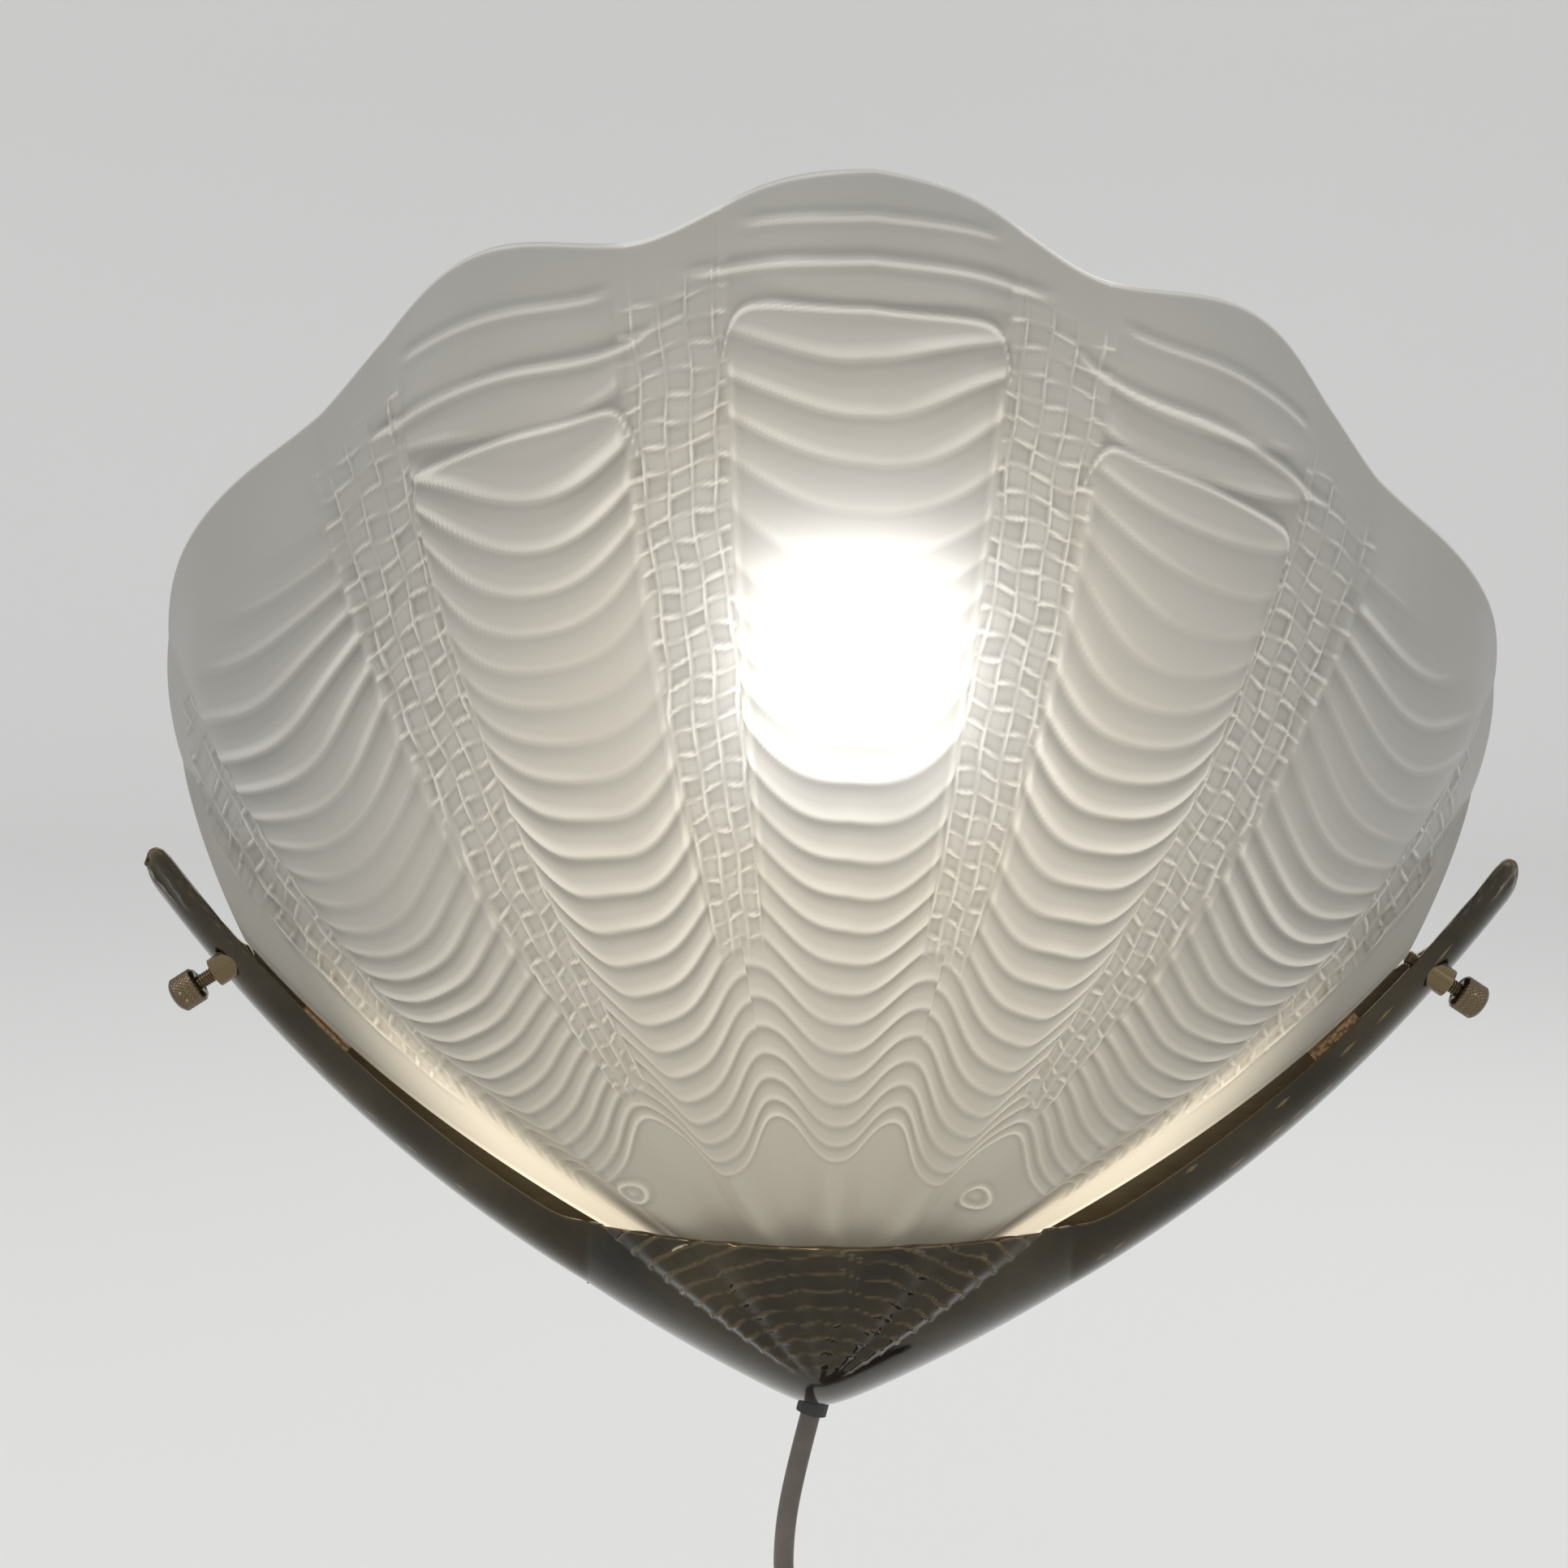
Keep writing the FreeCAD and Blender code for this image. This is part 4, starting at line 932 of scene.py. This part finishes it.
def capThread(radius, turn, place):
    low, high = lamp["threadZ"]
    if not low < place < high:
        return radius
    groove = 0.5 - 0.5 * math.cos(turn - 2 * math.pi * place / lamp["threadPitch"])
    return radius - lamp["threadDepth"] * groove


def makeLamp():
    start = (0.0, -lamp["depth"], 0.0)
    radius, neckZ, full = lamp["capRadius"], lamp["neckZ"], lamp["globeRadius"]
    neck = radius + lamp["neckWall"]
    globe = [(0.05, neckZ)] + [(neck + out, neckZ + up) for out, up in lamp["shoulder"]]
    for k in range(1, lamp["globeRings"] + 1):
        angle = math.radians(-50 + 140 * k / (lamp["globeRings"] + 1))
        globe.append((full * math.cos(angle), lamp["globeZ"] + full * math.sin(angle)))
    globe.append((0.04, lamp["globeZ"] + full - 0.05))
    turnedPiece("opalGlobe", globe, 64, start, (0, 0, 1), "opal_glass", "lamp", ["bulb_globe"])
    cap = [(4.4, 31.0), (radius - 1.6, 32.2), (radius - 0.7, 33.6)]
    cap += [(radius, 34.6 + 14.6 * k / 70) for k in range(71)] + [(radius, 50.9)]
    turnedPiece("threadedLampCap", cap, 40, start, (0, 0, 1), "lamp_cap", "lamp", ["bulb_cap"], capThread)
    turnedPiece("lampFootContact", lamp["foot"], 32, start, (0, 0, 1), "lamp_cap", "lamp", ["bulb_contact"])


makeLamp()
print("lamp made")


# lampholder: cap and skirt with softened edges and grip lines

holder = {
    "depth": 50.0, "bracketZ": 6.0, "capRadius": 13.0, "skirtRadius": 14.0, "mouthRadius": 7.4,
    "skirtZ": (15.0, 50.0), "grips": 36, "gripDepth": 0.35,
}


def grip(radius, turn, place):
    if radius < holder["skirtRadius"] - 0.1:
        return radius
    return radius - holder["gripDepth"] * abs(math.sin(0.5 * holder["grips"] * turn))


def makeHolder():
    start = (0.0, -holder["depth"], 0.0)
    z, cap = holder["bracketZ"], holder["capRadius"]
    profile = [(5.0, z + 4), (5.0, z), (cap - 2.5, z), (cap - 1.0, z + 0.4), (cap - 0.3, z + 1.2),
               (cap, z + 2.4), (cap, z + 9), (cap - 0.8, z + 9), (cap - 0.8, z + 16), (cap - 2.6, z + 16),
               (cap - 2.6, z + 4)]
    turnedPiece("holderCap", profile, 72, start, (0, 0, 1), "white_plastic", "base", ["lampholder_cap"])
    low, top = holder["skirtZ"]
    skirt, mouth = holder["skirtRadius"], holder["mouthRadius"]
    profile = [(cap - 0.8, low + 12), (cap - 0.8, low), (skirt - 0.9, low), (skirt - 0.35, low + 0.5),
               (skirt - 0.3, low + 2.0)]
    profile += [(skirt, low + 2.2 + (top - low - 9) * k / 8) for k in range(9)]
    profile += [(skirt - 0.3, top - 6.0), (skirt - 0.4, top - 1.6), (skirt - 1.0, top - 0.4),
                (skirt - 2.0, top), (mouth + 0.2, top), (mouth, top - 0.2), (mouth, top - 1.4),
                (skirt - 1.4, top - 1.4), (skirt - 1.4, low + 12)]
    turnedPiece("holderSkirt", profile, 144, start, (0, 0, 1), "white_plastic", "base", ["lampholder_skirt"],
                grip, closed=False)


makeHolder()
print("lampholder made")


# flex: a smooth line through the part's route, coiled up below the lamp

flex = {
    "diameter": 0.0054,
    "drop": [(-0.0043, -0.0070, -0.1200), (-0.0079, -0.0076, -0.1340), (-0.0112, -0.0090, -0.1510),
             (-0.0114, -0.0086, -0.1685), (-0.0029, -0.0056, -0.1837), (0.0117, -0.0037, -0.1920),
             (0.0283, -0.0037, -0.1920)],
    "inside": [(-0.0043, -0.0070, -0.1200), (0.0034, -0.0057, -0.0900), (0.0034, -0.0057, -0.0520),
               (0.0024, -0.0160, -0.0360), (0.0006, -0.0320, -0.0290), (0.0, -0.0460, -0.0210),
               (0.0, -0.0500, -0.0060), (0.0, -0.0500, 0.0090)],
    "turnsIn": 3.75, "turnsOut": 3.5, "innerRadius": 0.0216, "pitch": 0.00585, "layerStep": 0.0059,
    "pointsPerTurn": 16, "tail": 0.014, "length": 1.58,
}


def coilPlace(turns):
    last = flex["drop"][-1]
    middleX = last[0] + flex["diameter"]
    middleZ = last[2] - flex["innerRadius"] - flex["pitch"] * flex["turnsIn"]
    radius = flex["innerRadius"] + flex["pitch"] * abs(turns - flex["turnsIn"])
    climb = min(1.0, max(0.0, 2 * (turns - flex["turnsIn"]) + 0.5))
    angle = 2 * math.pi * turns
    return (middleX + radius * math.sin(angle), last[1] - flex["layerStep"] * climb,
            middleZ + radius * math.cos(angle))


def flexRoute():
    count = round(flex["pointsPerTurn"] * (flex["turnsIn"] + flex["turnsOut"]))
    coil = [coilPlace(k / flex["pointsPerTurn"]) for k in range(count + 1)]
    end = coil[-1]
    return flex["drop"] + coil + [(end[0], end[1], end[2] - flex["tail"])]


def flexCurve(name, places, diameter, slot, replaced):
    curve = bpy.data.curves.new(name, "CURVE")
    curve.dimensions = "3D"
    curve.bevel_depth = diameter / 2
    curve.bevel_resolution = 5
    curve.resolution_u = 10
    curve.use_fill_caps = True
    line = curve.splines.new("NURBS")
    line.points.add(len(places) - 1)
    for point, place in zip(line.points, places):
        point.co = (*place, 1)
    line.order_u = 3
    line.use_endpoint_u = True
    return addPiece(name, curve, slot, "base", replaced)


wires = {
    "diameter": 0.0016, "depth": 0.050,
    "route": [(0.0013, 0.009), (0.0015, 0.0125), (0.0056, 0.0142), (0.0060, 0.0162)],    # x, z
}


def makeFlexes():
    drop = flexCurve("flexToPlug", flexRoute(), flex["diameter"], "flex_pvc", ["cord_drop", "cord_coil"])
    flexCurve("flexInLamp", flex["inside"], flex["diameter"], "flex_pvc", ["inner_cord"])
    for side, word, slot in ((-1, "live", "live_pvc"), (1, "neutral", "neutral_pvc")):
        route = [(side * x, -wires["depth"], z) for x, z in wires["route"]]
        flexCurve(word + "WireEnd", route, wires["diameter"], slot, [word + "_wire"])
    return drop


flexToPlug = makeFlexes()
print("flexes made")


# plug: ribbed strain relief, moulded body with a grip waist

plug = {
    "sides": 48,
    "reliefRings": 25, "reliefLength": 25.5, "reliefWidths": (6.8, 9.4), "grooveDepth": 0.9,
    "body": [    # place down from the flex's end, width, thickness, squareness
        (26.0, 12.0, 10.6, 2.6), (28.0, 14.5, 11.6, 3.0), (33.0, 20.0, 12.4, 3.4), (38.0, 26.0, 13.2, 3.8),
        (42.5, 31.0, 13.8, 4.2), (45.0, 33.4, 14.0, 4.6), (50.0, 33.0, 13.6, 4.8), (55.0, 33.4, 13.8, 4.8),
        (59.5, 34.0, 14.0, 5.0), (60.6, 33.2, 13.2, 5.0), (61.0, 31.6, 11.8, 5.0),
    ],
}


def plugSection(width, thickness, squareness):
    outline = []
    for k in range(plug["sides"]):
        turn = 2 * math.pi * k / plug["sides"]
        across, along = math.cos(turn), math.sin(turn)
        outline.append((width / 2 * math.copysign(abs(across) ** (2 / squareness), across),
                        thickness / 2 * math.copysign(abs(along) ** (2 / squareness), along)))
    return outline


def makePlug():
    x, y, z = [value / mm for value in flexRoute()[-1]]
    sections = []
    first, last = plug["reliefWidths"]
    for k in range(plug["reliefRings"]):    # strain relief with ring grooves
        share = k / (plug["reliefRings"] - 1)
        width = first + (last - first) * share - (plug["grooveDepth"] if k % 4 == 3 else 0.0)
        sections.append((plug["reliefLength"] * share, width, width, 2.0))
    sections += plug["body"]
    points = []
    for place, width, thickness, squareness in sections:
        points += [(x + px, y + py, z - place) for px, py in plugSection(width, thickness, squareness)]
    faces = tubeFaces(len(sections), plug["sides"])
    return meshPiece("plugMoulding", points, faces, "plug_plastic", "base", ["plug_body"])


plugBody = makePlug()


# studio: pale sweep of floor and back wall, soft lamps

studio = {
    "floorZ": -0.335, "floorHalf": 6.0, "backY": 4.5, "backHeight": 5.0, "sweepRadius": 1.2,
    "paper": (0.80, 0.80, 0.79), "sky": (0.83, 0.835, 0.84), "skyStrength": 0.95,
    "lamps": [    # name, place, size, watts, colour
        ("keyLamp", (-0.9, -0.9, 1.5), 0.8, 7.0, (1.0, 0.98, 0.95)),
        ("fillLamp", (1.5, -1.2, 0.3), 1.2, 2.0, (0.95, 0.97, 1.0)),
        ("rearLamp", (0.5, 1.4, 1.3), 1.2, 5.0, (1.0, 1.0, 1.0)),
    ],
    "lookAt": (0.0, -0.05, 0.05),
}


def makeSweep():
    half, floor, back, radius = (studio[key] for key in ("floorHalf", "floorZ", "backY", "sweepRadius"))
    profile = [(-half, floor), (back - radius, floor)]
    for k in range(1, 17):
        turn = 0.5 * math.pi * k / 16
        profile.append((back - radius * (1 - math.sin(turn)), floor + radius * (1 - math.cos(turn))))
    profile.append((back, studio["backHeight"]))
    points = [(x, y, z) for y, z in profile for x in (-half, half)]
    faces = [(2 * k, 2 * k + 1, 2 * k + 3, 2 * k + 2) for k in range(len(profile) - 1)]
    mesh = bpy.data.meshes.new("paperSweep")
    mesh.from_pydata(points, [], faces)
    mesh.polygons.foreach_set("use_smooth", [True] * len(mesh.polygons))
    finish, tree, shader = newFinish("palePaper")
    cloud = noiseOf(tree, 0.6, 3.0, 0.5)
    paper = studio["paper"]
    feed(shader, "Base Color", rampOf(tree, cloud, [(0.3, darker(paper, 0.985)), (0.7, paper)]))
    fix(shader, {"Roughness": 0.85, "Specular IOR Level": 0.2})
    mesh.materials.append(finish)
    addObject("paperSweep", mesh)


def makeLamps():
    for name, place, size, watts, colour in studio["lamps"]:
        data = bpy.data.lights.new(name, "AREA")
        data.shape = "DISK"
        data.size = size
        data.energy = watts
        data.color = colour
        light = addObject(name, data)
        light.location = place
        toward = Vector(studio["lookAt"]) - Vector(place)
        light.rotation_euler = toward.to_track_quat("-Z", "Y").to_euler()


def makeSky():
    world = bpy.data.worlds.new("paleSky")
    bpy.context.scene.world = world
    world.use_nodes = True
    tree = world.node_tree
    tree.nodes.clear()
    light = addNode(tree, "ShaderNodeBackground", Color=(*studio["sky"], 1), Strength=studio["skyStrength"])
    feed(addNode(tree, "ShaderNodeOutputWorld"), "Surface", light.outputs[0])


makeSweep()
makeLamps()
makeSky()
bpy.context.scene.view_settings.view_transform = "Standard"
print("studio made")
